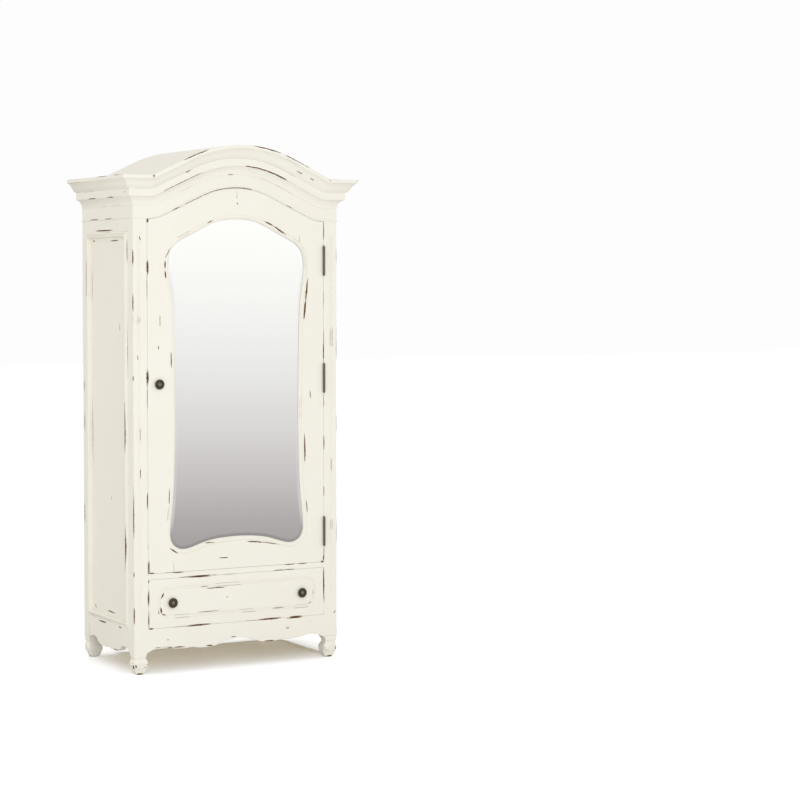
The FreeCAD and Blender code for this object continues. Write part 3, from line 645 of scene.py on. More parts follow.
        cloudy = add(tree, "TexNoise", {"Vector": place, "Scale": 1 / (self.cloud_size * MM),
                                        "Detail": 2.0})
        paint = add(tree, "MixRGB", {"Fac": cloudy, "Color1": linear(self.paint),
                                     "Color2": linear(self.shaded_paint)})
        paint = add(tree, "MixRGB", {"Fac": halo, "Color1": paint, "Color2": linear(self.primer)})
        wood_scale = along_grain(self.grain, *self.wood_grain)
        wood_place = add(tree, "Mapping", {"Vector": place, "Scale": wood_scale})
        wood_noise = add(tree, "TexNoise", {"Vector": wood_place, "Scale": 1.0, "Detail": 2.0})
        wood = add(tree, "ValToRGB", {"Fac": wood_noise})
        fill_ramp(wood, self.wood_stops)
        wood = add(tree, "MixRGB", {"Fac": core, "Color1": wood, "Color2": linear(self.dark_wood)})

        brushed = add(tree, "Bump", {"Height": brush, "Strength": self.brush_relief,
                                     "Distance": self.brush_depth * MM})
        whole = add(tree, "Math", {0: 1.0, 1: worn}, operation="SUBTRACT")
        plug(tree, surface, {
            "Base Color": add(tree, "MixRGB", {"Fac": worn, "Color1": paint, "Color2": wood}),
            "Roughness": add(tree, "MapRange", {"Value": worn, "To Min": self.roughness,
                                                "To Max": self.wood_roughness}),
            "Normal": add(tree, "Bump", {"Height": whole, "Strength": self.chip_relief,
                                         "Distance": self.chip_depth * MM, "Normal": brushed}),
        })
        return material


@dataclass(frozen=True)
class CreamLining:
    """Cream lacquer sprayed on planed poplar boards.

    It gives the eye a warm, even cream with the faint long grain of the boards below.
    """

    name: str
    grain: Grain
    light: str = "#FDF6EA"
    dark: str = "#F8EEDC"
    # Coarser than real grain, which is too fine to show
    grain_width: float = 5.0
    grain_length: float = 240.0
    grain_relief: float = 0.1
    grain_depth: float = 0.5
    # The noise at which the light colour starts to turn dark, and at which it is dark
    grain_fade: tuple[float, float] = (0.35, 0.75)
    roughness: float = 0.5

    def make(self) -> Material:
        """Make the material.

        Returns:
            The finish.
        """
        material, tree, surface = blank_material(self.name)
        place = add(tree, "TexCoord").outputs["Object"]
        scale = along_grain(self.grain, self.grain_width, self.grain_length)
        streaked = add(tree, "Mapping", {"Vector": place, "Scale": scale})
        lines = add(tree, "TexNoise", {"Vector": streaked, "Scale": 1.0, "Detail": 4.0, "Distortion": 0.4})
        start, full = self.grain_fade
        shade = add(tree, "MapRange", {"Value": lines, "From Min": start, "From Max": full})
        plug(tree, surface, {
            "Base Color": add(tree, "MixRGB", {"Fac": shade, "Color1": linear(self.light),
                                               "Color2": linear(self.dark)}),
            "Roughness": self.roughness,
            "Normal": add(tree, "Bump", {"Height": lines, "Strength": self.grain_relief,
                                         "Distance": self.grain_depth * MM}),
        })
        return material


@dataclass(frozen=True)
class AgedBronze:
    """Turned brass with a dark brown chemical patina, waxed.

    It gives the eye a dark warm brown with a dull glint, and paler metal where
    fingers have rubbed the high rings.
    """

    name: str = "Aged Bronze"
    patina: str = "#5E5446"
    rubbed: str = "#B4A68E"
    # Coarser than a real patina's mottle, which is too fine to show
    mottle_size: float = 2.0
    mottle_relief: float = 0.15
    mottle_depth: float = 0.3
    edge_radius: float = 1.2
    # How flat the skin is where the rubbing starts, and where it is full
    edge_bend: tuple[float, float] = (0.98, 0.90)
    metallic: float = 0.8
    roughness: tuple[float, float] = (0.3, 0.5)

    def make(self) -> Material:
        """Make the material.

        Returns:
            The finish.
        """
        material, tree, surface = blank_material(self.name)
        place = add(tree, "TexCoord").outputs["Object"]
        mottle = add(tree, "TexNoise", {"Vector": place, "Scale": 1 / (self.mottle_size * MM),
                                        "Detail": 3.0})
        start, full = self.edge_bend
        edge = add(tree, "MapRange", {"Value": flatness(tree, self.edge_radius), "From Min": start,
                                      "From Max": full})
        amount = add(tree, "Math", {0: edge, 1: mottle}, operation="MULTIPLY")
        smooth, rough = self.roughness
        plug(tree, surface, {
            "Base Color": add(tree, "MixRGB", {"Fac": amount, "Color1": linear(self.patina),
                                               "Color2": linear(self.rubbed)}),
            "Metallic": self.metallic,
            "Roughness": add(tree, "MapRange", {"Value": mottle, "To Min": smooth, "To Max": rough}),
            "Normal": add(tree, "Bump", {"Height": mottle, "Strength": self.mottle_relief,
                                         "Distance": self.mottle_depth * MM}),
        })
        return material


@dataclass(frozen=True)
class SilveredGlass:
    """Float glass, ground to a bevel at its rim and silvered on its back.

    It gives the eye a clean, neutral reflection, with the faintest smears.
    """

    name: str = "Silvered Glass"
    silver: str = "#FEFEFE"
    smear_size: float = 90.0
    roughness: tuple[float, float] = (0.012, 0.03)

    def make(self) -> Material:
        """Make the material.

        Returns:
            The finish.
        """
        material, tree, surface = blank_material(self.name)
        place = add(tree, "TexCoord").outputs["Object"]
        smears = add(tree, "TexNoise", {"Vector": place, "Scale": 1 / (self.smear_size * MM),
                                        "Detail": 2.0})
        clean, smeared = self.roughness
        plug(tree, surface, {
            "Base Color": linear(self.silver),
            "Metallic": 1.0,
            "Roughness": add(tree, "MapRange", {"Value": smears, "To Min": clean, "To Max": smeared}),
        })
        return material


@dataclass(frozen=True)
class BlackNylon:
    """Moulded nylon, as catch rollers are made of, with a dull skin."""

    name: str = "Black Nylon"
    black: str = "#1B1A19"
    # Coarser than real grit, which is too fine to show
    grit_size: float = 0.8
    grit_relief: float = 0.2
    grit_depth: float = 0.2
    roughness: float = 0.55

    def make(self) -> Material:
        """Make the material.

        Returns:
            The finish.
        """
        material, tree, surface = blank_material(self.name)
        place = add(tree, "TexCoord").outputs["Object"]
        grit = add(tree, "TexNoise", {"Vector": place, "Scale": 1 / (self.grit_size * MM), "Detail": 2.0})
        plug(tree, surface, {
            "Base Color": linear(self.black),
            "Roughness": self.roughness,
            "Normal": add(tree, "Bump", {"Height": grit, "Strength": self.grit_relief,
                                         "Distance": self.grit_depth * MM}),
        })
        return material


# Sub-assemblies


def coat(names: tuple[str, ...], finish: WornPaint | CreamLining, rounding: float = 0.25) -> None:
    """Coat wooden pieces with one finish and soften their edges.

    Args:
        names: The pieces' nodes.
        finish: The finish.
        rounding: The width of their edges' rounding, or zero for edges that stay as they are.
    """
    material = finish.make()
    for name in names:
        piece = frame["nodes"][name]
        dress(piece, material)
        if rounding > 0:
            soften(piece, rounding)


@dataclass
class TurnedKnob:
    """A knob turned in the lathe: a neck on a small flange, and a wide head with rings and an eye."""

    name: str
    # Where the knob meets the wood, in metres
    place: Vector
    body: str
    node: str
    flange_radius: float = 12.0
    flange_thickness: float = 1.6
    stem_radius: float = 3.0
    stem_length: float = 14.0
    eye_radius: float = 7.7
    groove_radius: float = 10.6
    head_height: float = 6.5
    edge_radius: float = 0.35
    # Edges that turn by more than these angles are rounded, and stay crisp in the shading
    round_over: float = 30.0
    crisp_over: float = 40.0
    sides: int = 48
    # Each step of the turning: how much smaller the ring gets, and how far it moves out
    steps: tuple[tuple[float, float], ...] = (
        (1.0, 0.5), (2.5, 0.7), (1.5, 0.8), (0.0, 0.7), (-2.0, 0.8), (-4.0, 0.8),
        (-5.0, 0.7), (-2.0, 0.6), (0.0, 1.4), (0.8, 0.9), (1.4, 0.4), (1.2, -0.5),
        (1.0, -0.8), (1.2, 0.1), (1.2, 0.7), (1.6, 0.3), (1.2, -0.6), (1.4, -1.2),
        (0.7, 0.1), (0.8, 1.5), (0.8, 0.5), (2.2, 0.1), (0.8, -0.4), (0.8, 0.3),
        (1.2, 0.4),
    )

    def build(self) -> Object:
        """Turn the knob's rings from one disc by insets and pushes.

        Returns:
            The knob.
        """
        deselect_all()
        middle = self.place + Vector((0, -self.flange_thickness * MM / 2, 0))
        bpy.ops.mesh.primitive_cylinder_add(vertices=self.sides, radius=self.flange_radius * MM,
                                            depth=self.flange_thickness * MM, end_fill_type="NGON",
                                            location=middle, rotation=(math.radians(90), 0, 0))
        knob = bpy.context.object
        knob.name = self.name
        bpy.ops.object.transform_apply(location=True, rotation=True, scale=True)
        open_with(knob, "FACE", [end_face(knob, Face.FRONT)])
        radius = self.flange_radius
        for inset, rise in self.steps:
            share = (radius - inset) / radius
            radius -= inset
            bpy.ops.mesh.extrude_region_move(TRANSFORM_OT_translate={"value": (0, -rise * MM, 0)})
            bpy.ops.transform.resize(value=(share, 1.0, share), center_override=self.place)
        go_to("OBJECT")
        open_with(knob, "FACE", [end_face(knob, Face.BACK)])
        bpy.ops.mesh.inset(thickness=(self.flange_radius - self.stem_radius) * MM)
        bpy.ops.mesh.extrude_region_move(TRANSFORM_OT_translate={"value": (0, self.stem_length * MM, 0)})
        go_to("OBJECT")
        finish_with(knob, "BEVEL", width=self.edge_radius * MM, segments=2, limit_method="ANGLE",
                    angle_limit=math.radians(self.round_over))
        bpy.ops.object.shade_smooth_by_angle(angle=math.radians(self.crisp_over))
        return knob

    def fit(self, bronze: Material, rubbed: Material, dark: Material) -> None:
        """Build the knob, dress it and put it on its body.

        Args:
            bronze: The finish of most of the knob.
            rubbed: The finish of the eye in the middle of its head.
            dark: The finish of the groove round the eye, where wax and dirt gather.
        """
        knob = self.build()
        dress(knob, bronze, rubbed, dark)
        for face in knob.data.polygons:
            spot = (face.center - self.place) / MM
            across = math.hypot(spot.x, spot.z)
            if spot.y < -self.head_height and across < self.groove_radius:
                face.material_index = 1 if across < self.eye_radius else 2
        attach(knob, self.body)
        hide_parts(self.node)


@dataclass
class CarvedFoot:
    """A scroll foot with a snail-shell whorl carved on its side, and on its front if it stands there."""

    node: str
    x_side: int
    y_side: int
    voxel: float = 2.0
    fine_voxel: float = 1.2
    rounding: int = 7
    fine_rounding: int = 2
    top_band: float = 1.5
    seat_lap: float = 0.2
    flat_above: float = 72.0
    flat_below: float = 4.0
    fade: float = 14.0
    whorl_radius: float = 17.0
    whorl_centre_height: float = 38.0
    whorl_inset: float = 27.0
    whorl_turns: float = 1.9
    ridge_radius: float = 3.2
    ridge_sink: float = -0.8
    eye_radius: float = 3.5
    tail_rise: float = 26.0
    tail_lean: float = 6.0
    tail_end: float = 0.55
    eye_thickness: float = 0.75
    points_a_turn: int = 14
    # How far before the box's face the foot's skin is looked for
    feeler: float = 10.0

    def build(self) -> Object:
        """Round the sawn foot and carve its whorls.

        Returns:
            The foot.
        """
        blank = frame["nodes"][self.node]
        choose(blank)
        bpy.ops.object.duplicate()
        foot = bpy.context.object
        foot.name = self.node.replace("foot", "carved_foot")
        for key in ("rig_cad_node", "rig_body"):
            if key in foot:
                del foot[key]
        foot.parent = None
        go_to("EDIT")
        bpy.ops.mesh.select_all(action="SELECT")
        bpy.ops.mesh.remove_doubles(threshold=SAME_SPOT)
        go_to("OBJECT")
        finish_with(foot, "REMESH", mode="VOXEL", voxel_size=self.voxel * MM)
        self.round_off(foot, self.rounding)
        low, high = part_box(self.node)
        faces = (Face.FRONT, Face.LEFT) if self.y_side < 0 else (Face.LEFT,)
        whorls = [self.whorl(foot, low, high, face) for face in faces]
        choose(foot)
        for whorl in whorls:
            whorl.select_set(True)
        bpy.ops.object.join()
        finish_with(foot, "REMESH", mode="VOXEL", voxel_size=self.fine_voxel * MM)
        self.round_off(foot, self.fine_rounding)
        self.seat(foot, high.z)
        bpy.ops.object.shade_smooth()
        return foot

    def seat(self, foot: Object, top: float) -> None:
        """Raise the foot's top, which the carving lowered, until it laps into the post.

        Args:
            foot: The foot.
            top: The height of the post's end.
        """
        highest = max(vertex.co.z for vertex in foot.data.vertices)
        band = highest - self.top_band * MM
        open_with(foot, "VERT", [vertex.index for vertex in foot.data.vertices if vertex.co.z > band])
        bpy.ops.transform.translate(value=(0, 0, top - highest + self.seat_lap * MM))
        go_to("OBJECT")

    def round_off(self, foot: Object, times: int) -> None:
        """Smooth the foot between its sole and its top, which stay flat to meet the floor and the post.

        Args:
            foot: The foot.
            times: How often it is smoothed.
        """
        carved = foot.vertex_groups.new(name="carved")
        for vertex in foot.data.vertices:
            height = vertex.co.z / MM
            share = min(1.0, (self.flat_above + self.fade - height) / self.fade, height / self.flat_below)
            if share > 0:
                carved.add([vertex.index], share, "REPLACE")
        finish_with(foot, "SMOOTH", factor=0.5, iterations=times, vertex_group=carved.name)
        foot.vertex_groups.clear()

    def spiral(self) -> list[tuple[float, float, float]]:
        """List the points of the ridge, from its eye out and then up its tail.

        Returns:
            For each point how far it lies across and above the whorl's middle, and the
            ridge's share of its full radius there.
        """
        count = round(self.whorl_turns * self.points_a_turn)
        spots = []
        for number in range(count + 1):
            share = number / count
            angle = self.whorl_turns * 2 * math.pi * share - math.pi / 2
            radius = self.eye_radius + (self.whorl_radius - self.eye_radius) * share
            thick = self.eye_thickness + (1 - self.eye_thickness) * share
            spots.append((radius * math.cos(angle), radius * math.sin(angle), thick))
        last_across, last_up, _ = spots[-1]
        for share in (0.35, 0.7, 1.0):
            spots.append((last_across - self.tail_lean * share, last_up + self.tail_rise * share,
                          1 - (1 - self.tail_end) * share))
        return spots

    def whorl(self, foot: Object, low: Vector, high: Vector, face: Face) -> Object:
        """Model one spiral ridge with a round eye and a tail that climbs to the ankle.

        Args:
            foot: The rounded foot, on whose skin the ridge lies.
            low: The foot's lowest corner.
            high: The foot's highest corner.
            face: The foot's front, for a whorl across it, or its side.

        Returns:
            The ridge as a mesh.
        """
        corner = Vector((high.x if self.x_side > 0 else low.x, high.y if self.y_side > 0 else low.y, 0))
        sideways = Vector((-self.x_side, 0, 0))
        lengthways = Vector((0, -self.y_side, 0))
        run, inward = (sideways, lengthways) if face is Face.FRONT else (lengthways, sideways)
        path = self.spiral()
        spots = []
        depth = 0.0
        for across, up, _ in path:
            place = corner + run * (self.whorl_inset + across) * MM
            place.z = (self.whorl_centre_height + up) * MM
            hit, spot, _, _ = foot.ray_cast(place - inward * self.feeler * MM, inward)
            depth = (spot - place).dot(inward) if hit else depth
            spots.append(place + inward * (depth + self.ridge_sink * MM))
        thickness = [thick for _, _, thick in path]
        return bend_rod(self.node + "_whorl", spots, self.ridge_radius, thickness)

    def fit(self, material: Material) -> None:
        """Build the foot, dress it and put it on the cabinet.

        Args:
            material: Its finish.
        """
        foot = self.build()
        dress(foot, material)
        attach(foot, "cabinet")
        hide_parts(self.node)


@dataclass
class PanelMoulding:
    """The mitred moulding round a side panel: a hollow, a bead and a quirk, from its outside in."""

    node: str
    side: int
    back: float = 10.0
    # Edges that turn by more than this angle stay crisp in the shading
    crisp_over: float = 38.0
    # Each step from the outside in: its width and its rise
    profile: tuple[tuple[float, float], ...] = (
        (0.6, 0.6), (2.2, 0.0), (0.9, -1.4), (2.6, 1.2), (3.0, 2.0), (2.6, 2.8),
        (1.0, 0.0), (0.8, -2.2), (0.9, 0.0), (0.8, 3.4), (1.2, 1.9), (1.8, 0.9),
        (1.8, 0.0), (1.6, -1.1), (1.2, -2.4), (0.8, -3.4), (0.6, -3.0),
    )

    def build(self) -> Object:
        """Shape the moulding from a plank by insets, then open it in the middle.

        Returns:
            The moulding as a closed ring.
        """
        low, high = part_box(self.node)
        wall = self.side * SIDE_LEVEL * MM
        middle = Vector((wall - self.side * self.back * MM / 2, (low.y + high.y) / 2, (low.z + high.z) / 2))
        deselect_all()
        bpy.ops.mesh.primitive_cube_add(size=1.0, location=middle)
        ring = bpy.context.object
        ring.name = self.node.replace("panel_moulding", "beaded_moulding")
        ring.scale = (self.back * MM, high.y - low.y, high.z - low.z)
        bpy.ops.object.transform_apply(location=True, rotation=True, scale=True)
        inner, outer = (Face.LEFT, Face.RIGHT) if self.side > 0 else (Face.RIGHT, Face.LEFT)
        open_with(ring, "FACE", [end_face(ring, outer)])
        for width, rise in self.profile:
            bpy.ops.mesh.inset(thickness=width * MM, depth=rise * MM)
        go_to("OBJECT")
        fields = [face.index for face in ring.data.polygons if face.select]
        open_with(ring, "FACE", [end_face(ring, inner)])
        bpy.ops.mesh.inset(thickness=sum(width for width, _ in self.profile) * MM, depth=0.0)
        go_to("OBJECT")
        fields += [face.index for face in ring.data.polygons if face.select]
        open_with(ring, "FACE", fields)
        bpy.ops.mesh.bridge_edge_loops()
        bpy.ops.mesh.select_all(action="SELECT")
        bpy.ops.mesh.normals_make_consistent(inside=False)
        go_to("OBJECT")
        bpy.ops.object.shade_smooth_by_angle(angle=math.radians(self.crisp_over))
        return ring

    def fit(self, material: Material) -> None:
        """Build the moulding, dress it and put it on the cabinet.

        Args:
            material: Its finish.
        """
        ring = self.build()
        dress(ring, material)
        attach(ring, "cabinet")
        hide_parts(self.node)


@dataclass
class Cornice:
    """The arched crown moulding, its returns along the sides, and the bead below it."""

    # How far each of its lines stands out from the posts
    top_out: float = 66.0
    cyma_out: float = 47.0
    fascia_top_out: float = 28.0
    fascia_side_out: float = 27.0
    fascia_foot_out: float = 26.5
    foot_out: float = 3.0
    return_reach: float = 9.0

    def front_chips(self) -> tuple[Chip, ...]:
        """List the rubbed lines of the cornice's front above the bead.

        Returns:
            The chips.
        """
        top = Trail(offset=169.0, level=FRONT_LEVEL - self.top_out)
        cyma = Trail(offset=137.0, level=FRONT_LEVEL - self.cyma_out)
        fascia_top = Trail(offset=117.0, level=FRONT_LEVEL - self.fascia_top_out)
        fascia_foot = Trail(offset=88.5, level=FRONT_LEVEL - self.fascia_foot_out)
        cove_foot = Trail(offset=54.5, level=FRONT_LEVEL - self.foot_out)
        return (
            *top.chips((-250, -165, 3.5), (60, 150, 5.5), (197, 264, 4.0), (272, 293, 3.0),
                       (515, 524, 5.0)),
            *cyma.chips((246, 272, 3.0), (308, 326, 3.0)),
            *fascia_top.chips((-238, -216, 3.5)),
            *cove_foot.chips((-40, -18, 2.5)),
            *fascia_foot.chips((-325, -175, 3.0), (40, 204, 4.6)),
        )

    def bead_chips(self) -> tuple[Chip, ...]:
        """List the rubbed places of the bead's front.

        Returns:
            The chips.
        """
        bead = Trail(offset=1.5, level=FRONT_LEVEL - self.foot_out)
        return bead.chips((-284, -250, 3.2), (-222, -150, 2.0), (-140, -62, 2.4), (-56, 60, 2.8),
                          (222, 246, 1.8))

    def side_chips(self) -> tuple[Chip, ...]:
        """List the rubbed lines of the left return above the bead.

        Returns:
            The chips.
        """
        top = Surface(Face.LEFT, -SIDE_LEVEL - self.top_out, self.return_reach)
        fascia = Surface(Face.LEFT, -SIDE_LEVEL - self.fascia_side_out, self.return_reach)
        return (
            *top.chips((-126, 1976.5, -30, 1976.5, 3.5), (-261, 1976.5, -209, 1976.5, 3.0)),
            *fascia.chips((87, 1895.5, 164, 1895.5, 3.4), (-102, 1895.5, -38, 1895.5, 3.6),
                          (-227, 1912, -219, 1912, 4.0)),
        )

    def dress(self) -> None:
        """Finish the cornice, its returns and the bead."""
        bead_front = self.bead_chips()
        bead_left = Surface(Face.LEFT, -SIDE_LEVEL - self.foot_out, self.return_reach).chips(
            (116, 1811, 204, 1811, 3.4), (-24, 1811, 40, 1811, 3.2))
        front = self.front_chips() + bead_front
        left = self.side_chips() + bead_left
        coat(("front_cornice", "arched_top_rail"),
             WornPaint("Worn Paint on the Cornice", front, Grain.ACROSS, speck_spacing=170.0),
             rounding=0.8)
        for word, chips in (("left", left), ("right", mirrored(left))):
            look = WornPaint(f"Worn Paint on the {word.title()} Return", chips, Grain.DEEP)
            coat((f"{word}_cornice_return",), look, rounding=0.8)
        bead_chips = bead_front + bead_left + mirrored(bead_left)
        coat(("frieze_bead",), WornPaint("Worn Paint on the Bead", bead_chips, Grain.ACROSS), rounding=0.0)
        coat(("roof_panel",), WornPaint("Worn Paint on the Roof", (), Grain.DEEP), rounding=0.8)


def mirrored(chips: tuple[Chip, ...]) -> tuple[Chip, ...]:
    """Give the right side its own chips: the left side's, turned end for end.

    Args:
        chips: The left side's chips.

    Returns:
        The right side's chips.
    """
    made = []
    for chip in chips:
        start, end = ((-x, FRONT_LEVEL + BACK_LEVEL - y, z) for x, y, z in (chip.start, chip.end))
        made.append(replace(chip, start=start, end=end, face=Face.RIGHT))
    return tuple(made)


@dataclass
class Carcass:
    """The posts, rails, sides and back."""

    # Rubbed places on the front posts' corners and beside the door
    post_chips: tuple[Chip, ...] = Surface(Face.FRONT, FRONT_LEVEL).chips(
        (-425, 1738, -420, 1722, 3.0), (-453, 1686, -453, 1618, 5.5),
        (-453, 1510, -453, 1441, 3.4), (-453, 1190, -453, 1168, 3.0),
        (-453, 412, -453, 392, 4.0), (-453, 270, -453, 205, 4.6),
        (-392, 1806, -391, 1790, 6.0), (-392.5, 1641, -391, 1588, 6.5),
        (-392, 1590, -392, 1478, 4.0), (-393, 1211, -393, 1147, 7.0),
        (-392.5, 1143, -392.5, 1052, 4.0), (-393, 722, -393, 664, 8.5),
        (-392, 524, -392, 500, 3.6), (-392, 452, -392, 398, 3.6),
        (-453, 718, -453, 545, 2.6), (-393, 332, -393, 264, 4.4),
        (-392, 246, -392, 174, 3.0), (-433, 1268, -432, 1252, 2.6),
        (-424, 985, -424, 920, 1.8), (-424, 825, -424, 781, 3.0),
        (392, 1806, 392, 1728, 8.0), (393, 1360, 393, 1238, 3.0),
        (393, 1092, 393, 1040, 3.0), (393, 923, 393, 862, 5.0),
        (393, 715, 393, 672, 5.0), (393, 463, 393, 410, 4.0),
        (393.5, 372, 393.5, 240, 3.6), (428, 835, 428, 770, 2.4),
        (438, 184, 450, 194, 4.0), (453, 1320, 453, 1250, 3.4),
        (453, 560, 453, 480, 3.0), (453, 1700, 453, 1640, 2.6),
        (453, 1010, 453, 930, 2.6),
    )
    # Rubbed places of the left side, and shallow ones on its back corner, unseen from behind
    left_chips: tuple[Chip, ...] = (
        *Surface(Face.LEFT, -SIDE_LEVEL, reach=30.0).chips(
            (-78, 1789, -72, 1789, 3.0), (-18, 1765, 148, 1765.5, 5.0),
            (190, 1723, 204, 1728, 6.0), (-66, 1724, 18, 1723, 4.4),
            (-166, 576, -166, 425, 6.5), (-166, 1070, -166, 880, 6.5),
            (-180, 1400, -180, 1180, 3.0), (-178, 1730, -178, 1640, 2.6),
            (249, 404, 249, 318, 7.0), (219, 1053, 219, 820, 5.0),
            (219, 1590, 219, 1450, 3.4), (256, 1640, 256, 1500, 8.0),
            (190, 217, 201, 228, 7.0), (-9, 219, 67, 221, 5.6),
            (57, 172, 134, 171, 6.0), (-102, 173, -73, 173, 4.6),
            (-52, 75, -22, 77, 4.6), (-66, 78, -50, 76, 3.6),
            (-73, 1390, -73, 1364, 3.0), (20, 690, 20, 676, 3.0),
        ),
        *Surface(Face.LEFT, -SIDE_LEVEL, reach=5.0).chips(
            (284, 1150, 284, 1105, 4.0), (284, 1024, 284, 942, 5.0),
            (288, 640, 288, 560, 6.0),
        ),
    )
    # Rubbed places of the mid rail and the apron
    lower_chips: tuple[Chip, ...] = Surface(Face.FRONT, FRONT_LEVEL).chips(
        (-287, 399, -243, 399, 3.6), (214, 399, 257, 399, 3.2),
        (275, 399, 312, 399, 3.4), (378, 399, 393, 399, 4.0),
        (-256, 378.5, -208, 378.5, 2.6), (-212, 379, -117, 379, 3.4),
        (-112, 378.5, -95, 378.5, 3.2), (166, 378.5, 209, 378.5, 3.2),
        (212, 378.5, 257, 378.5, 3.4), (-227, 179.5, -132, 179.5, 3.0),
        (-391, 179.5, -370, 179.5, 2.6), (92, 179.5, 194, 179.5, 3.2),
        (226, 178, 289, 178, 5.5), (219, 137.5, 230, 137.5, 5.0),
        (-312, 132, -305, 132, 3.0), (-32, 121, -9, 122, 4.0),
        (-361, 104, -290, 101, 4.5), (-282, 101, -237, 98, 4.5),
        (-142, 95, -112, 94, 5.0), (115, 91, 165, 92, 5.0),
    )

    def dress(self) -> None:
        """Finish the posts, the rails, the sides and the back."""
        coat(("left_front_post", "right_front_post"),
             WornPaint("Worn Paint on the Front Posts", self.post_chips))
        for side, word, chips in ((-1, "left", self.left_chips), (1, "right", mirrored(self.left_chips))):
            title = f"Worn Paint on the {word.title()} "
            coat((f"{word}_side_panel", f"{word}_back_post"), WornPaint(title + "Side", chips))
            moulding = WornPaint(title + "Moulding", chips, edge_start=0.78)
            PanelMoulding(f"{word}_panel_moulding", side).fit(moulding.make())
            coat((f"{word}_side_top_rail", f"{word}_side_bottom_rail"),
                 WornPaint(title + "Rails", chips, Grain.DEEP))
        coat(("front_mid_rail", "front_apron"),
             WornPaint("Worn Paint on the Lower Rails", self.lower_chips, Grain.ACROSS))
        coat(("back_bottom_rail",), WornPaint("Worn Paint on the Back", (), Grain.ACROSS))
        coat(("back_panel", "ceiling_panel"),
             CreamLining("Cream Lining, Upright", Grain.UPRIGHT), rounding=0.6)


@dataclass
class Interior:
    """The floor, the shelves, the rod and what carries them."""

    boards: tuple[str, ...] = ("cabinet_floor", "lower_shelf", "middle_shelf", "upper_shelf")
    supports: tuple[str, ...] = ("rod_supports", "drawer_guides", "shelf_pins")

    def dress(self) -> None:
        """Finish everything inside the cabinet."""
        coat(self.boards, CreamLining("Cream Lining, Across", Grain.ACROSS), rounding=0.8)
        coat(self.supports, CreamLining("Cream Lining, Deep", Grain.DEEP), rounding=0.0)
        coat(("hanging_rod",), CreamLining("Cream Lining on the Rod", Grain.ACROSS), rounding=0.0)


@dataclass
class MirrorLip:
    """A slim rounded lip inside the mirror's bead, which covers the rim of the glass."""

    bead_node: str = "mirror_bead"
    radius: float = 2.6
    cover: float = 1.6
    sink: float = 1.0

    def edge_points(self) -> list[Vector]:
        """Find the bead's inner edge.

        Returns:
            Its corners, in order round the mirror.
        """
        bead = frame["nodes"][self.bead_node].data
        low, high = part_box(self.bead_node)
        middle = Vector(((low.x + high.x) / 2, 0, (low.z + high.z) / 2))
        found = {}
        for face in bead.polygons:
            inward = middle - face.center
            inward.y = 0
            if abs(face.normal.y) > 0.95 or face.normal.dot(inward) < 0:
                continue
            for index in face.vertices:
                spot = bead.vertices[index].co
                if abs(spot.y - high.y) < SAME_SPOT:
                    found[(round(spot.x, 5), round(spot.z, 5))] = spot.copy()
        return sorted(found.values(), key=lambda spot: math.atan2(spot.z - middle.z, spot.x - middle.x))

    def build(self) -> Object:
        """Bend a rod along the bead's inner edge.

        Returns:
            The lip as a closed mesh.
        """
        points = self.edge_points()
        spots = []
        for number, point in enumerate(points):
            along = points[(number + 1) % len(points)] - points[number - 1]
            inward = Vector((-along.z, 0, along.x)).normalized()
            spots.append(point + inward * (self.cover * MM) + Vector((0, self.sink * MM, 0)))
        lip = bend_rod("mirror_lip", spots, self.radius, [])
        bpy.ops.object.shade_smooth()
        return lip

    def fit(self, material: Material) -> None:
        """Build the lip, dress it and hang it on the door.

        Args:
            material: Its finish.
        """
        lip = self.build()
        dress(lip, material)
        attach(lip, "door")


@dataclass
class Door:
    """The mirrored door with its fittings."""

    # Rubbed places along the door's gaps and round the mirror
    chips: tuple[Chip, ...] = Surface(Face.FRONT, FRONT_LEVEL).chips(
        (-389, 1808, -388, 1792, 6.0), (-390, 1640, -389, 1590, 5.4),
        (-390, 1205, -390, 1152, 4.6), (-389, 455, -389, 401, 4.6),
        (-390, 403, -366, 403, 4.4), (380, 403, 391, 403, 4.0),
        (390, 402, 390, 424, 3.6), (-293, 1697, -314, 1655, 3.4),
        (-316, 1641, -316, 1613, 4.6), (-316, 1600, -312, 1570, 4.8),
        (-139, 1791, -104, 1806, 3.8), (121, 1803, 162, 1786, 7.0),
        (165, 1783, 218, 1750, 9.0), (320, 1572, 310, 1480, 8.0),
        (311, 1490, 302, 1405, 7.0), (-292, 1275, -290, 1212, 3.4),
        (-345, 1306, -345, 1290, 4.4), (-338, 1424, -338, 1385, 2.4),
        (330, 1113, 331, 1080, 4.0), (304, 926, 306, 822, 6.2),
        (-300, 744, -302, 668, 2.6), (313, 657, 316, 610, 3.4),
        (-181, 510, -94, 511, 3.8), (46, 505, 120, 497, 4.2),
        (120, 497, 184, 484, 3.0), (-298, 497, -266, 476, 4.6),
        (-79, 446, -46, 445, 3.6), (0, 1924, 0, 1890, 1.4),
        (1, 1877, 2, 1870, 4.6), (391, 1300, 391, 1240, 2.2),
    )

    def dress(self) -> None:
        """Finish the door's woodwork and its mirror."""
        coat(("door_left_stile", "door_right_stile"), WornPaint("Worn Paint on the Stiles", self.chips))
        coat(("door_top_rail", "door_bottom_rail"),
             WornPaint("Worn Paint on the Door Rails", self.chips, Grain.ACROSS))
        coat(("mirror_bead",), WornPaint("Worn Paint on the Mirror Bead", self.chips), rounding=0.0)
        MirrorLip().fit(WornPaint("Worn Paint on the Mirror Lip", edge_start=0.95).make())
        coat(("door_back_panel",), WornPaint("Worn Paint on the Door Back"), rounding=0.8)
        dress(frame["nodes"]["mirror_glass"], SilveredGlass().make())


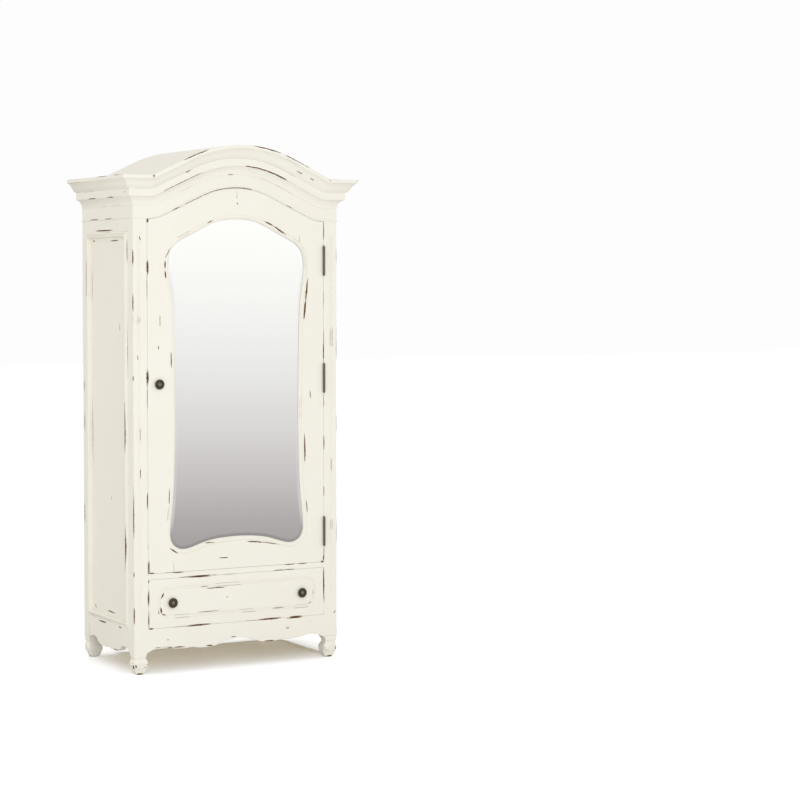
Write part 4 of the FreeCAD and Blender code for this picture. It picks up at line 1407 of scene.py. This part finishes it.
@dataclass
class Drawer:
    """The drawer with its routed front."""

    # Rubbed places along the drawer's gaps and its routed line
    chips: tuple[Chip, ...] = Surface(Face.FRONT, FRONT_LEVEL).chips(
        (-212, 375, -120, 375, 3.4), (-390, 376, -390, 365, 3.6),
        (-390, 335, -390, 271, 3.6), (-390, 250, -390, 183, 3.0),
        (391, 374, 391, 255, 3.2), (-166, 334, -128, 334, 3.0),
        (-136, 326, -63, 326, 3.6), (-52, 285, -44, 285, 4.0),
        (-338, 298, -326, 320, 5.5), (-348, 254, -348, 238, 3.4),
        (-338, 262, -336, 239, 6.5), (-334, 237, -317, 230, 4.0),
        (346, 281, 346, 270, 3.2), (337, 242, 324, 229, 3.2),
        (-170, 233, -86, 233, 2.6), (159, 223, 210, 223, 3.2),
        (-226, 183, -134, 183, 3.2), (-390, 183, -371, 183, 2.8),
        (94, 183, 192, 183, 3.6), (232, 183, 285, 183, 4.0),
    )

    def dress(self) -> None:
        """Finish the drawer's front and its box."""
        coat(("drawer_front",),
             WornPaint("Worn Paint on the Drawer", self.chips, Grain.ACROSS), rounding=1.2)
        coat(("drawer_left_side", "drawer_right_side"),
             CreamLining("Cream Lining on the Drawer Sides", Grain.DEEP), rounding=0.8)
        coat(("drawer_back", "drawer_bottom"),
             CreamLining("Cream Lining on the Drawer Bottom", Grain.ACROSS), rounding=0.6)


@dataclass
class Fittings:
    """The knobs, hinges and catches."""

    door_knob_place: tuple[float, float] = (-343.5, 1152.0)
    drawer_knob_offset: float = 289.0
    drawer_knob_height: float = 279.0
    hinge_nodes: tuple[str, ...] = (
        "hinge_post_leaves", "hinge_door_leaves", "hinge_pins", "hinge_post_screws", "hinge_door_screws",
    )
    catch_nodes: tuple[str, ...] = ("catch_cases", "catch_strikes")
    roller_nodes: tuple[str, ...] = (
        "lower_catch_bottom_roller", "lower_catch_top_roller", "upper_catch_left_roller",
        "upper_catch_right_roller",
    )

    def fit(self) -> None:
        """Turn the knobs and finish all the metal."""
        bronze = AgedBronze().make()
        rubbed = AgedBronze("Aged Bronze on the Knobs' Eyes", patina="#8F8778", rubbed="#B8AC98").make()
        dark = AgedBronze("Aged Bronze in the Knobs' Grooves", patina="#2A2218", rubbed="#4A4034",
                          metallic=0.4).make()
        x, z = self.door_knob_place
        door_knob = TurnedKnob("turned_door_knob", Vector((x, FRONT_LEVEL, z)) * MM, "door", "door_knob")
        door_knob.fit(bronze, rubbed, dark)
        for side, word in ((-1, "left"), (1, "right")):
            place = Vector((side * self.drawer_knob_offset, FRONT_LEVEL, self.drawer_knob_height)) * MM
            knob = TurnedKnob(f"turned_{word}_drawer_knob", place, "drawer", "drawer_knobs")
            knob.fit(bronze, rubbed, dark)
        worn_bronze = AgedBronze("Aged Bronze on the Hinges", patina="#756A5A", rubbed="#B8A890",
                                 metallic=0.6).make()
        nylon = BlackNylon().make()
        for names, metal in ((self.hinge_nodes, worn_bronze), (self.catch_nodes, bronze),
                             (self.roller_nodes, nylon)):
            for name in names:
                dress(frame["nodes"][name], metal)


@dataclass
class Feet:
    """The four carved feet."""

    scroll_reach: float = 12.0
    sole_reach: float = 30.0

    def fit(self) -> None:
        """Carve the feet and finish them."""
        chips = []
        for x_side in (-1, 1):
            for level, face in ((FRONT_LEVEL, Face.FRONT), (BACK_LEVEL, Face.BACK)):
                scroll = Surface(face, level, self.scroll_reach)
                sole = replace(scroll, reach=self.sole_reach)
                chips += sole.chips((x_side * 438, 3, x_side * 412, 2, 9.0))
                # The scroll marks sit round the whorls and in their eyes: painted shade for the carving's
                # hollows, drawn as dark brown chips.
                chips += scroll.chips((x_side * 447, 44, x_side * 446, 30, 4.5),
                                      (x_side * 408, 32, x_side * 402, 29, 3.6),
                                      (x_side * 399, 42, x_side * 396, 38, 3.0))
            outer = Face.LEFT if x_side < 0 else Face.RIGHT
            scroll = Surface(outer, x_side * SIDE_LEVEL, self.scroll_reach)
            sole = replace(scroll, reach=self.sole_reach)
            # On the outer side too, the scroll marks round the whorls and in their eyes are painted shade
            # for the carving's hollows.
            chips += scroll.chips((-226, 42, -223, 24, 6.0), (-222, 50, -219, 47, 3.4),
                                  (-206, 38, -204, 35, 3.0), (272, 40, 274, 36, 3.4))
            chips += sole.chips((258, 4, 290, 3, 8.0))
        paint = WornPaint("Worn Paint on the Feet", tuple(chips), edge_start=0.9).make()
        for x_side, x_word in ((-1, "left"), (1, "right")):
            for y_side, y_word in ((-1, "front"), (1, "back")):
                CarvedFoot(f"{x_word}_{y_word}_foot", x_side, y_side).fit(paint)


# Studio


@dataclass
class Studio:
    """The white floor, the soft light and the camera."""

    # Sizes and places in metres
    floor_half: float = 30.0
    camera_place: tuple[float, float, float] = (-3.7889, -8.1928, 1.5591)
    camera_turn: float = 29.73
    camera_pitch: float = 2.0
    lens: float = 98.0
    shift: float = -0.0529
    background: str = "#FDFDFD"
    flag_height: float = 0.06
    # Each card's name, place, turn and width
    flags: tuple[tuple[str, tuple[float, float, float], float, float], ...] = (
        ("studio_back_flag", (0.03, 0.3, 0.03), 0.0, 0.68),
        ("studio_right_flag", (0.45, 0.06, 0.03), 90.0, 0.4),
    )
    sky_colour: tuple[float, float, float, float] = (1.0, 0.98, 0.955, 1.0)
    sky_strength: float = 0.835
    key_place: tuple[float, float, float] = (-2.2, -5.0, 2.1)
    key_aim: tuple[float, float, float] = (0.0, 0.0, 0.9)
    key_size: tuple[float, float] = (3.0, 2.4)
    key_colour: tuple[float, float, float] = (0.83, 0.905, 1.0)
    key_power: float = 69.0
    floor_paint: tuple[float, float, float, float] = (0.94, 0.93, 0.9, 1.0)
    floor_shade: tuple[float, float, float, float] = (1.05, 1.14, 1.3, 1.0)
    floor_glow: tuple[float, float, float, float] = (0.24, 0.19, 0.1, 1.0)
    # Shades of the room that the mirror shows, by how steeply a ray climbs
    mirror_stops: tuple[tuple[float, str], ...] = (
        (-0.40, "#8F8A8B"), (-0.120, "#A6A2A0"), (-0.108, "#B2ADAD"), (-0.093, "#C3BFBE"),
        (-0.064, "#DDDADA"), (-0.034, "#EDEEEB"), (-0.005, "#F8F8F5"), (0.025, "#FFFFFC"),
    )

    def floor(self) -> None:
        """Lay the floor, which keeps the armoire's soft shadow and is white elsewhere."""
        deselect_all()
        bpy.ops.mesh.primitive_plane_add(size=2 * self.floor_half)
        floor = bpy.context.object
        floor.name = "studio_floor"
        floor.visible_glossy = False
        material = bpy.data.materials.new("Studio Floor")
        tree = empty_tree(material)
        seen = add(tree, "LightPath").outputs["Is Camera Ray"]
        lit = add(tree, "BsdfDiffuse", {"Color": self.floor_shade})
        glow = add(tree, "Emission", {"Color": self.floor_glow, "Strength": 1.0})
        shown = add(tree, "AddShader", {0: lit, 1: glow})
        plain = add(tree, "BsdfDiffuse", {"Color": self.floor_paint})
        add(tree, "OutputMaterial", {"Surface": add(tree, "MixShader", {0: seen, 1: plain, 2: shown})})
        dress(floor, material)

    def stand_flags(self) -> None:
        """Stand unseen black cards behind and beside the feet, so that the shadow has crisp far sides."""
        deselect_all()
        material, tree, surface = blank_material("Black Flag Cloth")
        plug(tree, surface, {"Base Color": linear("#101010"), "Roughness": 1.0})
        for name, place, turn, width in self.flags:
            bpy.ops.mesh.primitive_plane_add(size=1.0, location=place,
                                             rotation=(math.radians(90), 0, math.radians(turn)))
            card = bpy.context.object
            card.name = name
            card.scale = (width, self.flag_height, 1.0)
            bpy.ops.object.transform_apply(location=True, rotation=True, scale=True)
            card.visible_camera = False
            card.visible_glossy = False
            dress(card, material)

    def sky(self) -> None:
        """Light the armoire evenly, and give its mirror a white room that greys towards the floor."""
        world = bpy.data.worlds.new("Studio")
        bpy.context.scene.world = world
        tree = empty_tree(world)
        path = add(tree, "LightPath").outputs
        direction = add(tree, "TexCoord").outputs["Generated"]
        height = add(tree, "SeparateXYZ", {0: direction}).outputs["Z"]
        low, high = self.mirror_stops[0][0], self.mirror_stops[-1][0]
        share = add(tree, "MapRange", {"Value": height, "From Min": low, "From Max": high})
        room = add(tree, "ValToRGB", {"Fac": share})
        fill_ramp(room, [((level - low) / (high - low), colour) for level, colour in self.mirror_stops])
        even = add(tree, "Background", {"Color": self.sky_colour, "Strength": self.sky_strength})
        glossy = add(tree, "Background", {"Color": room, "Strength": 1.0})
        pale = add(tree, "Background", {"Color": linear(self.background), "Strength": 1.0})
        first = add(tree, "MixShader", {0: path["Is Glossy Ray"], 1: even, 2: glossy})
        seen = add(tree, "Math", {0: path["Is Camera Ray"], 1: path["Is Transmission Ray"]},
                   operation="MAXIMUM")
        add(tree, "OutputWorld", {"Surface": add(tree, "MixShader", {0: seen, 1: first, 2: pale})})

    def lamps(self) -> None:
        """Hang a wide soft lamp before the armoire's front, a little to its left."""
        deselect_all()
        bpy.ops.object.light_add(type="AREA", location=self.key_place)
        key = bpy.context.object
        key.name = "key_lamp"
        key.data.shape = "RECTANGLE"
        key.data.size, key.data.size_y = self.key_size
        key.data.energy = self.key_power
        key.data.color = self.key_colour
        key.rotation_euler = (Vector(self.key_aim) - key.location).to_track_quat("-Z", "Y").to_euler()
        key.visible_glossy = False

    def camera(self) -> None:
        """Set up the long lens at the picture's place."""
        data = bpy.data.cameras.new("camera")
        data.lens = self.lens
        data.sensor_width = 36.0
        data.shift_y = self.shift
        data.clip_end = 100.0
        camera = bpy.data.objects.new("camera", data)
        bpy.context.scene.collection.objects.link(camera)
        camera.location = self.camera_place
        camera.rotation_euler = (math.radians(90 - self.camera_pitch), 0, math.radians(-self.camera_turn))
        bpy.context.scene.camera = camera

    def build(self) -> None:
        """Build the floor, the light and the camera."""
        self.floor()
        self.stand_flags()
        self.sky()
        self.lamps()
        self.camera()
        bpy.context.scene.view_settings.view_transform = "Standard"


def main() -> None:
    """Build and dress the armoire, piece by piece."""
    logging.basicConfig(level=logging.INFO, format="%(name)s: %(message)s")
    deselect_all()
    Carcass().dress()
    Cornice().dress()
    Interior().dress()
    Door().dress()
    Drawer().dress()
    Fittings().fit()
    Feet().fit()
    Studio().build()


if __name__ == "__main__":
    main()
